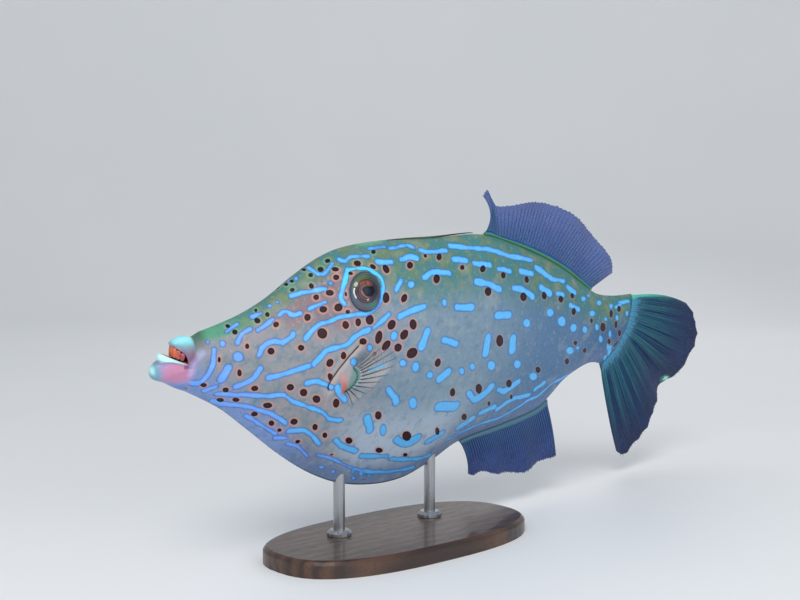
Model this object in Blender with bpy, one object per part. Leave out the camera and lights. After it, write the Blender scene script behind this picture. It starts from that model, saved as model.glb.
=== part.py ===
# Scrawled filefish (Aluterus scriptus), a life-size still model on a plain display stand.
# Metres, +Z up. The head points to -X and the left side faces -Y.
# Stations s and heights z of the fish are in percent of its total length, from the jaw tip.
import math

import bmesh
import bpy
from mathutils import Matrix, Vector

for ob in list(bpy.data.objects):
    bpy.data.objects.remove(ob, do_unlink=True)

# Driving sizes
total_length = 0.60
percent = total_length / 100.0
gap = 0.0003

# Pose: the whole fish banks its back towards -Y, and its rear turns away, droops and twists
bank = math.radians(12.0)
rear_yaw = math.radians(10.0)
rear_droop = math.radians(20.0)
rear_twist = math.radians(6.0)
bend_start = 46.0
bend_end = 90.0
pivot_station = 40.0
pivot_point = Vector((0.027, -0.008, 0.153))

# Body profile, as (station, value) in percent of the total length
back_line = [(4.5, 2.6), (8.2, 3.6), (11.4, 4.7), (14.5, 6.3), (17.7, 8.6), (20.9, 10.5), (24.0, 11.5),
             (29.5, 12.1), (37.4, 12.2), (45.5, 12.4), (50.7, 11.2), (59.1, 8.5), (67.1, 5.5), (69.5, 5.0),
             (73.0, 5.3), (77.0, 6.3), (80.0, 7.1)]
belly_line = [(4.5, -3.4), (9.4, -6.0), (13.4, -8.9), (18.1, -12.4), (22.9, -15.4), (27.8, -17.5),
              (33.0, -18.5), (38.0, -18.4), (42.5, -16.9), (46.9, -14.8), (55.5, -13.3), (62.5, -11.8),
              (64.8, -10.4), (67.3, -7.9), (70.4, -5.9), (73.4, -4.6), (76.5, -4.4), (80.0, -4.8)]
half_width = [(4.5, 1.35), (7.0, 1.8), (11.0, 2.35), (16.0, 3.0), (21.0, 3.6), (26.0, 4.05), (32.0, 4.3),
              (38.0, 4.3), (45.0, 4.0), (52.0, 3.3), (59.0, 2.5), (66.0, 1.75), (72.0, 1.2), (80.0, 0.7)]
widest_height = [(4.5, 0.2), (10.0, 0.2), (16.0, 1.0), (22.0, 2.2), (27.0, 3.2), (34.0, 2.5), (42.0, 1.0),
                 (52.0, -0.4), (60.0, -1.0), (68.0, -0.4), (80.0, 1.0)]
keel_power = [(4.5, 0.75), (16.0, 0.85), (26.0, 1.1), (40.0, 1.1), (50.0, 0.8), (62.0, 0.7), (80.0, 0.7)]

ring_half = 13
back_power = 2.2
back_round = 0.62
belly_power = 2.0
mouth_station = 4.5
gill_station = 24.6
gill_slant = 0.75
slant_start = 6.0
slant_end = 46.0
tail_cut_station = 67.8
tail_end_station = 78.6
tail_end_round = 0.065
tail_end_middle = 1.2
solve_steps = 14
halving_steps = 40


def ease(x, x0, x1):
    t = min(max((x - x0) / (x1 - x0), 0.0), 1.0)
    return t * t * (3.0 - 2.0 * t)


def curve(points, x):
    """Smooth curve through hand-set points, with tangents from their neighbours."""
    if x <= points[0][0]:
        return points[0][1]
    if x >= points[-1][0]:
        return points[-1][1]
    k = max(i for i in range(len(points) - 1) if points[i][0] <= x)
    (x0, y0), (x1, y1) = points[k], points[k + 1]
    xa, ya = points[max(k - 1, 0)]
    xb, yb = points[min(k + 2, len(points) - 1)]
    h = x1 - x0
    m0 = (y1 - ya) / (x1 - xa) * h
    m1 = (yb - y0) / (xb - x0) * h
    t = (x - x0) / h
    return ((2 * t ** 3 - 3 * t ** 2 + 1) * y0 + (t ** 3 - 2 * t ** 2 + t) * m0
            + (3 * t ** 2 - 2 * t ** 3) * y1 + (t ** 3 - t ** 2) * m1)


# The bent middle line of the fish, stepped both ways from the pivot station
def turn_at(s):
    t = ease(s, bend_start, bend_end)
    return (Matrix.Rotation(bank, 3, 'X') @ Matrix.Rotation(rear_yaw * t, 3, 'Z')
            @ Matrix.Rotation(rear_droop * t, 3, 'Y') @ Matrix.Rotation(rear_twist * t, 3, 'X'))


def build_line(step=0.5, last=108.0):
    points = {pivot_station: pivot_point.copy()}
    s = pivot_station
    while s < last:
        heading = turn_at(s + step / 2).col[0]
        points[s + step] = points[s] + heading * step * percent
        s += step
    s = pivot_station
    while s > -2.0:
        heading = turn_at(s - step / 2).col[0]
        points[s - step] = points[s] - heading * step * percent
        s -= step
    return points, step


line_points, line_step = build_line()


def place(s, y, z):
    """A point of the fish: station s, y to its right, z up, all in percent of the length."""
    low = math.floor(s / line_step) * line_step
    t = (s - low) / line_step
    centre = line_points[low].lerp(line_points[low + line_step], t)
    return centre + turn_at(s) @ Vector((0.0, y, z)) * percent


# The body surface: phi runs from 0 at the back to pi at the belly
def section(s, phi, grow=0.0):
    top = curve(back_line, s) + grow
    bottom = curve(belly_line, s) - grow
    mid = curve(widest_height, s)
    u = abs(math.cos(phi))
    if phi < math.pi / 2:
        z = mid + (top - mid) * u
        share = (1.0 - u ** back_power) ** back_round
    else:
        z = mid - (mid - bottom) * u
        share = (1.0 - u ** belly_power) ** curve(keel_power, s)
    return (curve(half_width, s) + grow) * share, z


def tail_end(z):
    return tail_end_station - tail_end_round * (z - tail_end_middle) ** 2


def slant_at(q):
    return gill_slant * ease(q, slant_start, gill_station) * (1.0 - ease(q, gill_station, slant_end))


def ring_point(q, phi, grow=0.0):
    """A point of ring q as (station, half width, height); rings lean at the gill and round off at the tail."""
    round_off = tail_end_round * ease(q, tail_cut_station, tail_end_station)
    s = q
    for _ in range(solve_steps):
        width, z = section(s, phi, grow)
        s = q + slant_at(q) * z - round_off * (z - tail_end_middle) ** 2
    width, z = section(s, phi, grow)
    return s, width, z


def surface_width(s, z):
    """Half width of the body at a station and height."""
    low, high = 0.0, math.pi
    for _ in range(halving_steps):
        phi = (low + high) / 2
        if section(s, phi)[1] > z:
            low = phi
        else:
            high = phi
    return section(s, low)[0]


# Mesh helpers
def finish(name, verts, faces, material, smooth=35.0):
    mesh = bpy.data.meshes.new(name)
    mesh.from_pydata([tuple(v) for v in verts], [], faces)
    bm = bmesh.new()
    bm.from_mesh(mesh)
    bmesh.ops.recalc_face_normals(bm, faces=bm.faces[:])
    bmesh.ops.triangulate(bm, faces=bm.faces[:])
    bm.to_mesh(mesh)
    bm.free()
    mesh.shade_smooth()
    mesh.set_sharp_from_angle(angle=math.radians(smooth))
    ob = bpy.data.objects.new(name, mesh)
    bpy.context.scene.collection.objects.link(ob)
    mesh.materials.append(material)
    return ob


def make_material(name, color, roughness, metallic=0.0):
    mat = bpy.data.materials.new(name)
    mat.use_nodes = True
    shader = mat.node_tree.nodes["Principled BSDF"]
    shader.inputs["Base Color"].default_value = (*color, 1.0)
    shader.inputs["Roughness"].default_value = roughness
    shader.inputs["Metallic"].default_value = metallic
    return mat


def loft(name, rings, material, start, end):
    """Rings joined into one closed body; each end is 'ladder' or a pole point."""
    count = len(rings[0])
    verts = [p for ring in rings for p in ring]
    faces = []
    for k in range(len(rings) - 1):
        for i in range(count):
            j = (i + 1) % count
            faces.append((k * count + i, k * count + j, (k + 1) * count + j, (k + 1) * count + i))
    for base, cap in ((0, start), ((len(rings) - 1) * count, end)):
        if isinstance(cap, Vector):
            verts.append(cap)
            pole = len(verts) - 1
            for i in range(count):
                faces.append((base + i, base + (i + 1) % count, pole))
            continue
        half = count // 2
        faces.append((base, base + 1, base + count - 1))
        for i in range(1, half - 1):
            faces.append((base + i, base + i + 1, base + count - i - 1, base + count - i))
        faces.append((base + half - 1, base + half, base + half + 1))
    return finish(name, verts, faces, material)


def ring_points(q, grow=0.0, shift=0.0):
    left = []
    for i in range(ring_half + 2):
        s, width, z = ring_point(q, math.pi * i / (ring_half + 1), grow)
        left.append((s + shift, width, z))
    ring = [place(s, -w, z) for s, w, z in left]
    ring += [place(s, w, z) for s, w, z in reversed(left[1:-1])]
    return ring


def body_rings(first, last, count, grow=0.0, shift_first=0.0, shift_last=0.0):
    rings = []
    for k in range(count + 1):
        q = first + (last - first) * k / count
        shift = shift_first if k == 0 else shift_last if k == count else 0.0
        rings.append(ring_points(q, grow, shift))
    return rings


half_gap = 0.5 * gap / percent


def make_head(material):
    rings = body_rings(mouth_station, gill_station, 17, shift_last=-half_gap)
    return loft("head", rings, material, 'ladder', 'ladder')


def make_trunk(material, grow=0.0, name="trunk"):
    rings = body_rings(gill_station, tail_cut_station, 26, grow, half_gap, -half_gap)
    return loft(name, rings, material, 'ladder', 'ladder')


def make_tail_stalk(material):
    rings = body_rings(tail_cut_station, tail_end_station, 7, shift_first=half_gap)
    return loft("tail_stalk", rings, material, 'ladder', 'ladder')


# Mouth: two lips that part in front, with the upper teeth between them
def oval_ring(s, y_half, z_low, z_high, count=16):
    ring = []
    mid = (z_low + z_high) / 2
    half = (z_high - z_low) / 2
    for i in range(count):
        a = 2 * math.pi * i / count
        ring.append(place(s, -y_half * math.sin(a), mid + half * math.cos(a)))
    return ring


def make_lip(name, stations, tip, material):
    rings = [oval_ring(*station) for station in stations]
    return loft(name, rings, material, place(*tip), 'ladder')


# Rings as (station, half width, lowest, highest), and the pole in front of them
lip_end = mouth_station - gap / percent
upper_lip_rings = [(2.4, 0.7, 1.65, 2.25), (2.8, 1.0, 1.55, 2.45), (3.3, 1.15, 1.3, 2.62), (3.8, 1.25, 0.7, 2.68),
                   (4.15, 1.28, 0.0, 2.66), (lip_end, 1.25, -0.35, 2.55)]
upper_lip_tip = (2.2, 0.0, 1.9)
lower_jaw_rings = [(0.35, 0.5, -1.5, -0.2), (0.8, 0.85, -1.9, 0.55), (1.15, 0.95, -2.05, 0.85),
                   (1.6, 1.05, -2.3, 0.8), (2.6, 1.2, -2.8, 0.4), (3.6, 1.25, -3.1, -0.1),
                   (lip_end, 1.25, -3.4, -0.55)]
lower_jaw_tip = (0.1, 0.0, -0.9)

# The upper teeth show between the lips as one low plate
teeth_rings = [(2.45, 0.35, 0.85, 1.57), (2.8, 0.6, 0.6, 1.48), (3.2, 0.7, 0.35, 1.28), (3.6, 0.7, 0.15, 0.87)]
teeth_tip = (2.35, 0.0, 1.25)


# Eyes: balls flattened along the way they face, square to the flank, that stand out of it a little
eye_station = 25.1
eye_height = 7.2
eye_radius = 2.4
eye_depth = 1.65
eye_bulge = 1.0


def make_ball(name, centre, radius, depth, axis, material, around=24, rings=12):
    """A ball of the given radius, and of half length depth along its axis."""
    turn = Vector((0, 0, 1)).rotation_difference(axis).to_matrix()
    verts = []
    faces = []
    for k in range(1, rings):
        a = math.pi * k / rings
        for i in range(around):
            b = 2 * math.pi * i / around
            across = radius * math.sin(a)
            local = Vector((across * math.cos(b), across * math.sin(b), depth * math.cos(a)))
            verts.append(centre + turn @ local)
    for k in range(rings - 2):
        for i in range(around):
            j = (i + 1) % around
            faces.append((k * around + i, k * around + j, (k + 1) * around + j, (k + 1) * around + i))
    for base, sign in ((0, 1), ((rings - 2) * around, -1)):
        verts.append(centre + turn @ Vector((0, 0, sign)) * depth)
        for i in range(around):
            faces.append((base + i, base + (i + 1) % around, len(verts) - 1))
    return finish(name, verts, faces, material)


def cut(target, cutter):
    cutter.hide_render = True
    cutter.display_type = 'WIRE'
    mod = target.modifiers.new("cut_" + cutter.name, 'BOOLEAN')
    mod.operation = 'DIFFERENCE'
    mod.solver = 'EXACT'
    mod.object = cutter


def fuse(target, pieces):
    """Join closed pieces to a node with one Boolean union, then remove them."""
    group = bpy.data.collections.new(target.name + "_pieces")
    bpy.context.scene.collection.children.link(group)
    for piece in pieces:
        bpy.context.scene.collection.objects.unlink(piece)
        group.objects.link(piece)
    mod = target.modifiers.new("fuse", 'BOOLEAN')
    mod.operation = 'UNION'
    mod.solver = 'EXACT'
    mod.operand_type = 'COLLECTION'
    mod.collection = group
    bpy.context.view_layer.update()
    graph = bpy.context.evaluated_depsgraph_get()
    joined = bpy.data.meshes.new_from_object(target.evaluated_get(graph))
    target.modifiers.remove(mod)
    target.data = joined
    for piece in pieces:
        bpy.data.objects.remove(piece, do_unlink=True)
    bpy.data.collections.remove(group)


def make_tube(name, path, radius, material, sides=6, closed=False):
    """A tube along surface points, each given as (point, outward direction)."""
    rings = []
    count = len(path)
    for k, (point, outward) in enumerate(path):
        before = path[k - 1 if closed else max(k - 1, 0)][0]
        after = path[(k + 1) % count if closed else min(k + 1, count - 1)][0]
        along = (after - before).normalized()
        across = along.cross(outward).normalized()
        up = across.cross(along)
        rings.append([point + (across * math.cos(a) + up * math.sin(a)) * radius
                      for a in (2 * math.pi * i / sides for i in range(sides))])
    verts = [p for ring in rings for p in ring]
    faces = []
    for k in range(count if closed else count - 1):
        for i in range(sides):
            j = (i + 1) % sides
            k2 = (k + 1) % count
            faces.append((k * sides + i, k * sides + j, k2 * sides + j, k2 * sides + i))
    if not closed:
        faces.append(tuple(range(sides)))
        faces.append(tuple(range((count - 1) * sides, count * sides)))
    return finish(name, verts, faces, material)


def on_surface(side, s, z, out=0.0):
    """A point of the flank and its outward direction."""
    step = 0.4
    here = place(s, side * surface_width(s, z), z)
    ahead = place(s + step, side * surface_width(s + step, z), z)
    above = place(s, side * surface_width(s, z + step), z + step)
    outward = (ahead - here).cross(above - here).normalized() * -side
    return here + outward * out * percent, outward


# Lid rings, nostrils and gill slits of one side
lid_radius = 2.5
lid_tube = 0.32
lid_sunk = 0.1
lid_steps = 30
nostrils = [(19.9, 8.15), (20.55, 7.95)]
nostril_radius = 0.2
nostril_lift = 0.03
slit_line = [(25.2, 1.5), (24.2, 0.0), (23.0, -1.8), (22.2, -3.4), (21.9, -4.6)]
slit_radius = 0.2
slit_steps = 8


def make_lid(side, material):
    path = []
    for i in range(lid_steps):
        a = 2 * math.pi * i / lid_steps
        s = eye_station + lid_radius * math.cos(a)
        z = eye_height + lid_radius * math.sin(a)
        path.append(on_surface(side, s, z, -lid_sunk))
    return make_tube("lid", path, lid_tube * percent, material, sides=8, closed=True)


def make_nostril(side, s, z, material):
    point, outward = on_surface(side, s, z, nostril_lift)
    return make_ball("nostril", point, nostril_radius * percent, nostril_radius * percent, outward, material, 8, 6)


def make_slit(side, material):
    path = []
    for k in range(slit_steps + 1):
        t = k / slit_steps * (len(slit_line) - 1)
        i = min(int(t), len(slit_line) - 2)
        (s0, z0), (s1, z1) = slit_line[i], slit_line[i + 1]
        path.append(on_surface(side, s0 + (s1 - s0) * (t - i), z0 + (z1 - z0) * (t - i)))
    return make_tube("slit", path, slit_radius * percent, material)


# Fins: sheets with the rays raised in both faces
def fin_sheet(name, columns, rows, root, margin, thickness, material, lateral=None, recess=None):
    """root and margin give (station, y, height) for u from 0 to 1 along the fin."""
    faces = []
    sides = {}
    verts = []
    for side in (-1, 1):
        for i in range(columns + 1):
            u = i / columns
            r = Vector(root(u))
            m = Vector(margin(u))
            if recess:
                m = m.lerp(r, recess(i))
            for j in range(rows + 1):
                v = j / rows
                p = r.lerp(m, v)
                if lateral:
                    p.y += lateral(u, v)
                half = thickness(i, u, v)
                verts.append(place(p.x, p.y + side * half, p.z))
                sides[side, i, j] = len(verts) - 1
    for i in range(columns):
        for j in range(rows):
            for side in (-1, 1):
                a, b = sides[side, i, j], sides[side, i + 1, j]
                c, d = sides[side, i + 1, j + 1], sides[side, i, j + 1]
                faces += [(a, b, c), (a, c, d)] if side < 0 else [(a, c, b), (a, d, c)]
    border = [(i, 0) for i in range(columns + 1)] + [(columns, j) for j in range(1, rows + 1)]
    border += [(i, rows) for i in range(columns - 1, -1, -1)] + [(0, j) for j in range(rows - 1, 0, -1)]
    for k, (i, j) in enumerate(border):
        i2, j2 = border[(k + 1) % len(border)]
        a, b = sides[-1, i, j], sides[-1, i2, j2]
        c, d = sides[1, i2, j2], sides[1, i, j]
        faces += [(a, d, c), (a, c, b)]
    return finish(name, verts, faces, material)


def edge_point(points, u):
    """Station and height at share u of an edge given as (share, station, height)."""
    return (curve([(p[0], p[1]) for p in points], u), curve([(p[0], p[2]) for p in points], u))


# Each fin's outer edge, as (share along the fin, station, height)
dorsal_edge = [(0.0, 44.5, 17.3), (0.05, 45.5, 18.0), (0.09, 46.6, 16.8), (0.13, 47.6, 15.9), (0.3, 52.6, 16.5),
               (0.5, 58.4, 15.8), (0.7, 63.9, 13.3), (0.88, 68.6, 10.6), (1.0, 70.9, 8.3)]
anal_edge = [(0.0, 50.4, -19.9), (0.06, 51.8, -20.4), (0.12, 53.1, -19.9), (0.3, 57.2, -20.6), (0.55, 63.4, -21.0),
             (0.8, 69.4, -19.9), (1.0, 73.4, -18.6)]
caudal_edge = [(0.0, 95.5, 8.4), (0.08, 99.5, 7.3), (0.2, 102.5, 4.0), (0.36, 102.4, 0.6), (0.46, 101.7, -2.0),
               (0.51, 98.8, -3.3), (0.56, 98.9, -5.6), (0.75, 99.5, -10.4), (0.9, 98.3, -14.1), (1.0, 95.6, -16.6)]
pectoral_root = [(0.0, 23.9, -1.5), (0.3, 25.0, -2.2), (0.5, 25.3, -3.0), (0.75, 24.7, -4.0), (1.0, 23.7, -4.7)]
pectoral_edge = [(0.0, 25.1, 1.5), (0.2, 27.7, 1.3), (0.35, 28.6, -0.1), (0.5, 27.9, -1.9), (0.7, 26.0, -3.6),
                 (0.85, 24.3, -4.6), (1.0, 23.3, -5.7)]
dorsal_first, dorsal_last = 45.9, 67.3
anal_first, anal_last = 47.2, 64.9
caudal_top, caudal_bottom = 6.0, -4.1
dorsal_rays = 45
anal_rays = 47
caudal_rays = 12
pectoral_rays = 13
fin_lift = gap / percent

# Tail fin: the fold between its halves, how far the lower half hangs off, and its slow wave
fold_share = 0.51
fold_spread = 0.05
fold_depth = 0.9
lobe_hang = 0.8
tail_wave = 0.3
tail_waves = 2.5
tail_power = 1.5

# Fin thickness: how it thins to the edge, the sheath's height and the rays' rise and fall
thin_power = 0.7
sheath_share = 0.16
ray_start = 0.12
ray_fade = 0.75
groove_depth = 0.4
fork_spread = 0.25


def ripple(waves, depth, phase):
    """The slow wave that runs along a soft fin, growing towards its edge."""
    return lambda u, v: depth * v * math.sin(2 * math.pi * waves * u + phase)


def tail_fold(u, v):
    """The tail fin's lower half hangs a little off the upper half, with a fold between them."""
    fold = math.exp(-((u - fold_share) / fold_spread) ** 2) * fold_depth
    hang = lobe_hang * ease(u, fold_share - fold_spread, 1.0)
    wave = tail_wave * math.sin(2 * math.pi * tail_waves * u)
    return (fold - hang + wave) * v ** tail_power


def ridged(per_ray, root_half, tip_half, ridge, sheath, fork=0.0):
    """Half thickness of a fin: a fleshy sheath at the root, and rays that stand proud of the membrane.

    With fork above 0 each ray splits in two beyond that share of its length."""
    def half(i, u, v):
        once = math.cos(2 * math.pi * i / per_ray)
        twice = math.cos(4 * math.pi * i / per_ray)
        split = ease(v, fork, fork + fork_spread) if fork else 0.0
        wave = once * (1 - split) + twice * split
        body = root_half + (tip_half - root_half) * v ** thin_power
        rise = max(wave, -groove_depth) * ridge * (1.0 - ray_fade * v) * ease(v, 0.0, ray_start)
        return body + rise + (sheath - root_half) * (1 - ease(v, 0.0, sheath_share))
    return half


def make_dorsal_fin(material):
    def root(u):
        s = dorsal_first + (dorsal_last - dorsal_first) * u
        return s, 0.0, curve(back_line, s) + fin_lift

    def margin(u):
        s, z = edge_point(dorsal_edge, u)
        return s, 0.0, z

    return fin_sheet("soft_dorsal_fin", 2 * dorsal_rays, 4, root, margin,
                     ridged(2, 0.13, 0.06, 0.07, 0.3), material, lateral=ripple(3.0, 0.35, 0.0),
                     recess=lambda i: 0.03 * (i % 2))


def make_anal_fin(material):
    def root(u):
        s = anal_first + (anal_last - anal_first) * u
        return s, 0.0, curve(belly_line, s) - fin_lift

    def margin(u):
        s, z = edge_point(anal_edge, u)
        return s, 0.0, z

    return fin_sheet("anal_fin", 2 * anal_rays, 4, root, margin,
                     ridged(2, 0.13, 0.06, 0.07, 0.3), material, lateral=ripple(2.6, 0.4, 0.9),
                     recess=lambda i: 0.03 * (i % 2))


def make_caudal_fin(material):
    def root(u):
        z = caudal_top + (caudal_bottom - caudal_top) * u
        return tail_end(z) + fin_lift, 0.0, z

    def margin(u):
        s, z = edge_point(caudal_edge, u)
        return s, 0.0, z

    return fin_sheet("caudal_fin", 4 * caudal_rays, 8, root, margin,
                     ridged(4, 0.2, 0.07, 0.13, 0.45, fork=0.3), material, lateral=tail_fold,
                     recess=lambda i: 0.02 * (i % 2))


def make_pectoral_fin(name, side, material):
    base_half = 0.3
    spread = 2.4

    def root(u):
        s, z = edge_point(pectoral_root, u)
        return s, side * (surface_width(s, z) + fin_lift + base_half), z

    def margin(u):
        s, z = edge_point(pectoral_edge, u)
        return s, side * (surface_width(s, z) + spread), z

    return fin_sheet(name, 2 * pectoral_rays, 4, root, margin,
                     ridged(2, 0.12, 0.055, 0.06, base_half), material, recess=lambda i: 0.05 * (i % 2))


# Dorsal spine, folded back along the ridge, with a blunt root and a tip that lifts a little
spine_first, spine_last = 30.2, 43.8
spine_root_radius = 0.17
spine_tip_radius = 0.07
spine_tip_lift = 0.3
spine_steps = 10
spine_front = (spine_first - 0.2, 0.25)
spine_point = (spine_last + 0.3, 0.45)


def make_spine(material):
    rings = []
    for k in range(spine_steps + 1):
        t = k / spine_steps
        s = spine_first + (spine_last - spine_first) * t
        radius = spine_root_radius * (1 - t) + spine_tip_radius * t
        z = curve(back_line, s) + fin_lift + radius + spine_tip_lift * t ** 2
        rings.append(oval_ring(s, radius, z - radius, z + radius, 8))
    front = place(spine_front[0], 0.0, curve(back_line, spine_first) + spine_front[1])
    tip = place(spine_point[0], 0.0, curve(back_line, spine_last) + spine_point[1])
    return loft("dorsal_spine", rings, material, front, tip)


# Display stand
base_length = 0.220
base_depth = 0.110
base_height = 0.012
base_edge = 0.003
base_squareness = 2.6
base_sides = 56
rod_radius = 0.0042
rod_sides = 16
rod_foot_radius = 0.009
rod_foot_height = 0.004
rod_foot_edge = 0.002
rod_stations = {"stand_rod_front": 28.0, "stand_rod_rear": 42.5}
rod_grip = 0.009


def oval_outline(length, depth, z):
    ring = []
    for i in range(base_sides):
        a = 2 * math.pi * i / base_sides
        c, s = math.cos(a), math.sin(a)
        x = length / 2 * math.copysign(abs(c) ** (2 / base_squareness), c)
        y = depth / 2 * math.copysign(abs(s) ** (2 / base_squareness), s)
        ring.append(Vector((x, y, z)))
    return ring


def disc_stack(name, rings, material):
    """Closed turned or outlined body from rings stacked upwards, with flat n-gon ends."""
    count = len(rings[0])
    verts = [p for ring in rings for p in ring]
    faces = []
    for k in range(len(rings) - 1):
        for i in range(count):
            j = (i + 1) % count
            faces.append((k * count + i, k * count + j, (k + 1) * count + j, (k + 1) * count + i))
    faces.append(tuple(reversed(range(count))))
    faces.append(tuple(range((len(rings) - 1) * count, len(rings) * count)))
    return finish(name, verts, faces, material)


def make_base(material):
    rings = [oval_outline(base_length, base_depth, 0.0),
             oval_outline(base_length, base_depth, base_height - base_edge),
             oval_outline(base_length - base_edge, base_depth - base_edge, base_height - base_edge * 0.3),
             oval_outline(base_length - 2 * base_edge, base_depth - 2 * base_edge, base_height)]
    return disc_stack("stand_base", rings, material)


def make_rod(name, station, material, cutter):
    keel = place(station, 0.0, curve(belly_line, station))
    foot = base_height + gap
    heights = [(foot, rod_foot_radius), (foot + rod_foot_height - rod_foot_edge, rod_foot_radius),
               (foot + rod_foot_height, rod_foot_radius - rod_foot_edge),
               (foot + rod_foot_height, rod_radius), (keel.z + rod_grip, rod_radius)]
    rings = []
    for z, radius in heights:
        ring = []
        for i in range(rod_sides):
            a = 2 * math.pi * i / rod_sides
            ring.append(Vector((keel.x + radius * math.cos(a), keel.y + radius * math.sin(a), z)))
        rings.append(ring)
    rod = disc_stack(name, rings, material)
    cut(rod, cutter)
    return rod


def main():
    skin = make_material("skin", (0.42, 0.47, 0.38), 0.5)
    lip = make_material("lip", (0.72, 0.62, 0.62), 0.4)
    teeth = make_material("teeth", (0.75, 0.42, 0.30), 0.3)
    fin = make_material("fin", (0.10, 0.16, 0.20), 0.5)
    clear_fin = make_material("pectoral", (0.55, 0.58, 0.55), 0.4)
    eye = make_material("eye", (0.05, 0.04, 0.04), 0.1)
    spine = make_material("spine", (0.25, 0.28, 0.18), 0.5)
    wood = make_material("stand_wood", (0.06, 0.04, 0.03), 0.4)
    steel = make_material("stand_steel", (0.6, 0.6, 0.6), 0.3, 1.0)

    head = make_head(skin)
    trunk = make_trunk(skin)
    fuse(head, [make_lid(-1, skin), make_lid(1, skin)])
    make_tail_stalk(skin)
    make_lip("upper_lip", upper_lip_rings, upper_lip_tip, lip)
    make_lip("lower_jaw", lower_jaw_rings, lower_jaw_tip, lip)
    make_lip("upper_teeth", teeth_rings, teeth_tip, teeth)
    for side, name in ((-1, "left"), (1, "right")):
        centre, outward = on_surface(side, eye_station, eye_height, eye_bulge - eye_depth)
        radius, depth = eye_radius * percent, eye_depth * percent
        make_ball("eye_" + name, centre, radius, depth, outward, eye)
        cut(head, make_ball("socket_" + name, centre, radius + gap, depth + gap, outward, skin))
        for s, z in nostrils:
            cut(head, make_nostril(side, s, z, skin))
        slit = make_slit(side, skin)
        cut(head, slit)
        cut(trunk, slit)
        make_pectoral_fin("pectoral_fin_" + name, side, clear_fin)
    make_dorsal_fin(fin)
    make_anal_fin(fin)
    make_caudal_fin(fin)
    make_spine(spine)
    make_base(wood)
    grown = make_trunk(skin, gap / percent, "trunk_grown")
    for name, station in rod_stations.items():
        make_rod(name, station, steel, grown)


main()
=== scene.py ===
# Looks of the scrawled filefish model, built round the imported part.
# Stations s, side y and height z of the fish are in percent of its length, from the jaw tip.
import math

import bmesh
import bpy
import numpy as np
from mathutils import Matrix, Vector
from mathutils.bvhtree import BVHTree


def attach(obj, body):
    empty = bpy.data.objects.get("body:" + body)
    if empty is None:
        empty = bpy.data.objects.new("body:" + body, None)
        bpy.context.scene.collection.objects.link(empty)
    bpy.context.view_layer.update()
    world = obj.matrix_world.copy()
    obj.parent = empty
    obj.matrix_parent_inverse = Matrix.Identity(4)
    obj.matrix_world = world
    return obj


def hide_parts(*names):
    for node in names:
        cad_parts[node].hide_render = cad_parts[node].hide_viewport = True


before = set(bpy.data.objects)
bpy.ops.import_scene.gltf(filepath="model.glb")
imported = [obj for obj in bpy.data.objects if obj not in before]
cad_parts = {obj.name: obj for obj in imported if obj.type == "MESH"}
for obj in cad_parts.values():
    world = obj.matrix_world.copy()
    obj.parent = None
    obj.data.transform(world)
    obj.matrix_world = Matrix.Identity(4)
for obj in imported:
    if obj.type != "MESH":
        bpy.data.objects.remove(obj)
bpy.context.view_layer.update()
print("frame loaded")

# The same driving sizes as the solids have
pose = dict(percent=0.006, bank=12, yaw=10, droop=20, twist=6, bendStart=46, bendEnd=90,
            pivotStation=40, pivot=(0.027, -0.008, 0.153))
backLine = [(4.5, 2.6), (8.2, 3.6), (11.4, 4.7), (14.5, 6.3), (17.7, 8.6), (20.9, 10.5), (24, 11.5),
            (29.5, 12.1), (37.4, 12.2), (45.5, 12.4), (50.7, 11.2), (59.1, 8.5), (67.1, 5.5), (69.5, 5),
            (73, 5.3), (77, 6.3), (80, 7.1)]
bellyLine = [(4.5, -3.4), (9.4, -6), (13.4, -8.9), (18.1, -12.4), (22.9, -15.4), (27.8, -17.5),
             (33, -18.5), (38, -18.4), (42.5, -16.9), (46.9, -14.8), (55.5, -13.3), (62.5, -11.8),
             (64.8, -10.4), (67.3, -7.9), (70.4, -5.9), (73.4, -4.6), (76.5, -4.4), (80, -4.8)]
halfWidth = [(4.5, 1.35), (7, 1.8), (11, 2.35), (16, 3), (21, 3.6), (26, 4.05), (32, 4.3),
             (38, 4.3), (45, 4), (52, 3.3), (59, 2.5), (66, 1.75), (72, 1.2), (80, 0.7)]
widestHeight = [(4.5, 0.2), (10, 0.2), (16, 1), (22, 2.2), (27, 3.2), (34, 2.5), (42, 1),
                (52, -0.4), (60, -1), (68, -0.4), (80, 1)]
keelPower = [(4.5, 0.75), (16, 0.85), (26, 1.1), (40, 1.1), (50, 0.8), (62, 0.7), (80, 0.7)]
backPower = (2.2, 0.62)      # how round the flank is above its widest height
tailEnd = dict(station=78.6, round=0.065, middle=1.2, roundFrom=67.8)


def ease(x, x0, x1):
    t = np.clip((np.asarray(x, float) - x0) / (x1 - x0), 0.0, 1.0)
    return t * t * (3.0 - 2.0 * t)


def curve(points, x):
    px = np.array([p[0] for p in points], float)
    py = np.array([p[1] for p in points], float)
    slope = np.empty_like(py)
    slope[1:-1] = (py[2:] - py[:-2]) / (px[2:] - px[:-2])
    slope[0] = (py[1] - py[0]) / (px[1] - px[0])
    slope[-1] = (py[-1] - py[-2]) / (px[-1] - px[-2])
    x = np.clip(np.asarray(x, float), px[0], px[-1])
    k = np.clip(np.searchsorted(px, x, side="right") - 1, 0, len(px) - 2)
    h = px[k + 1] - px[k]
    t = (x - px[k]) / h
    return ((2 * t ** 3 - 3 * t ** 2 + 1) * py[k] + (t ** 3 - 2 * t ** 2 + t) * h * slope[k]
            + (3 * t ** 2 - 2 * t ** 3) * py[k + 1] + (t ** 3 - t ** 2) * h * slope[k + 1])


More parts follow.
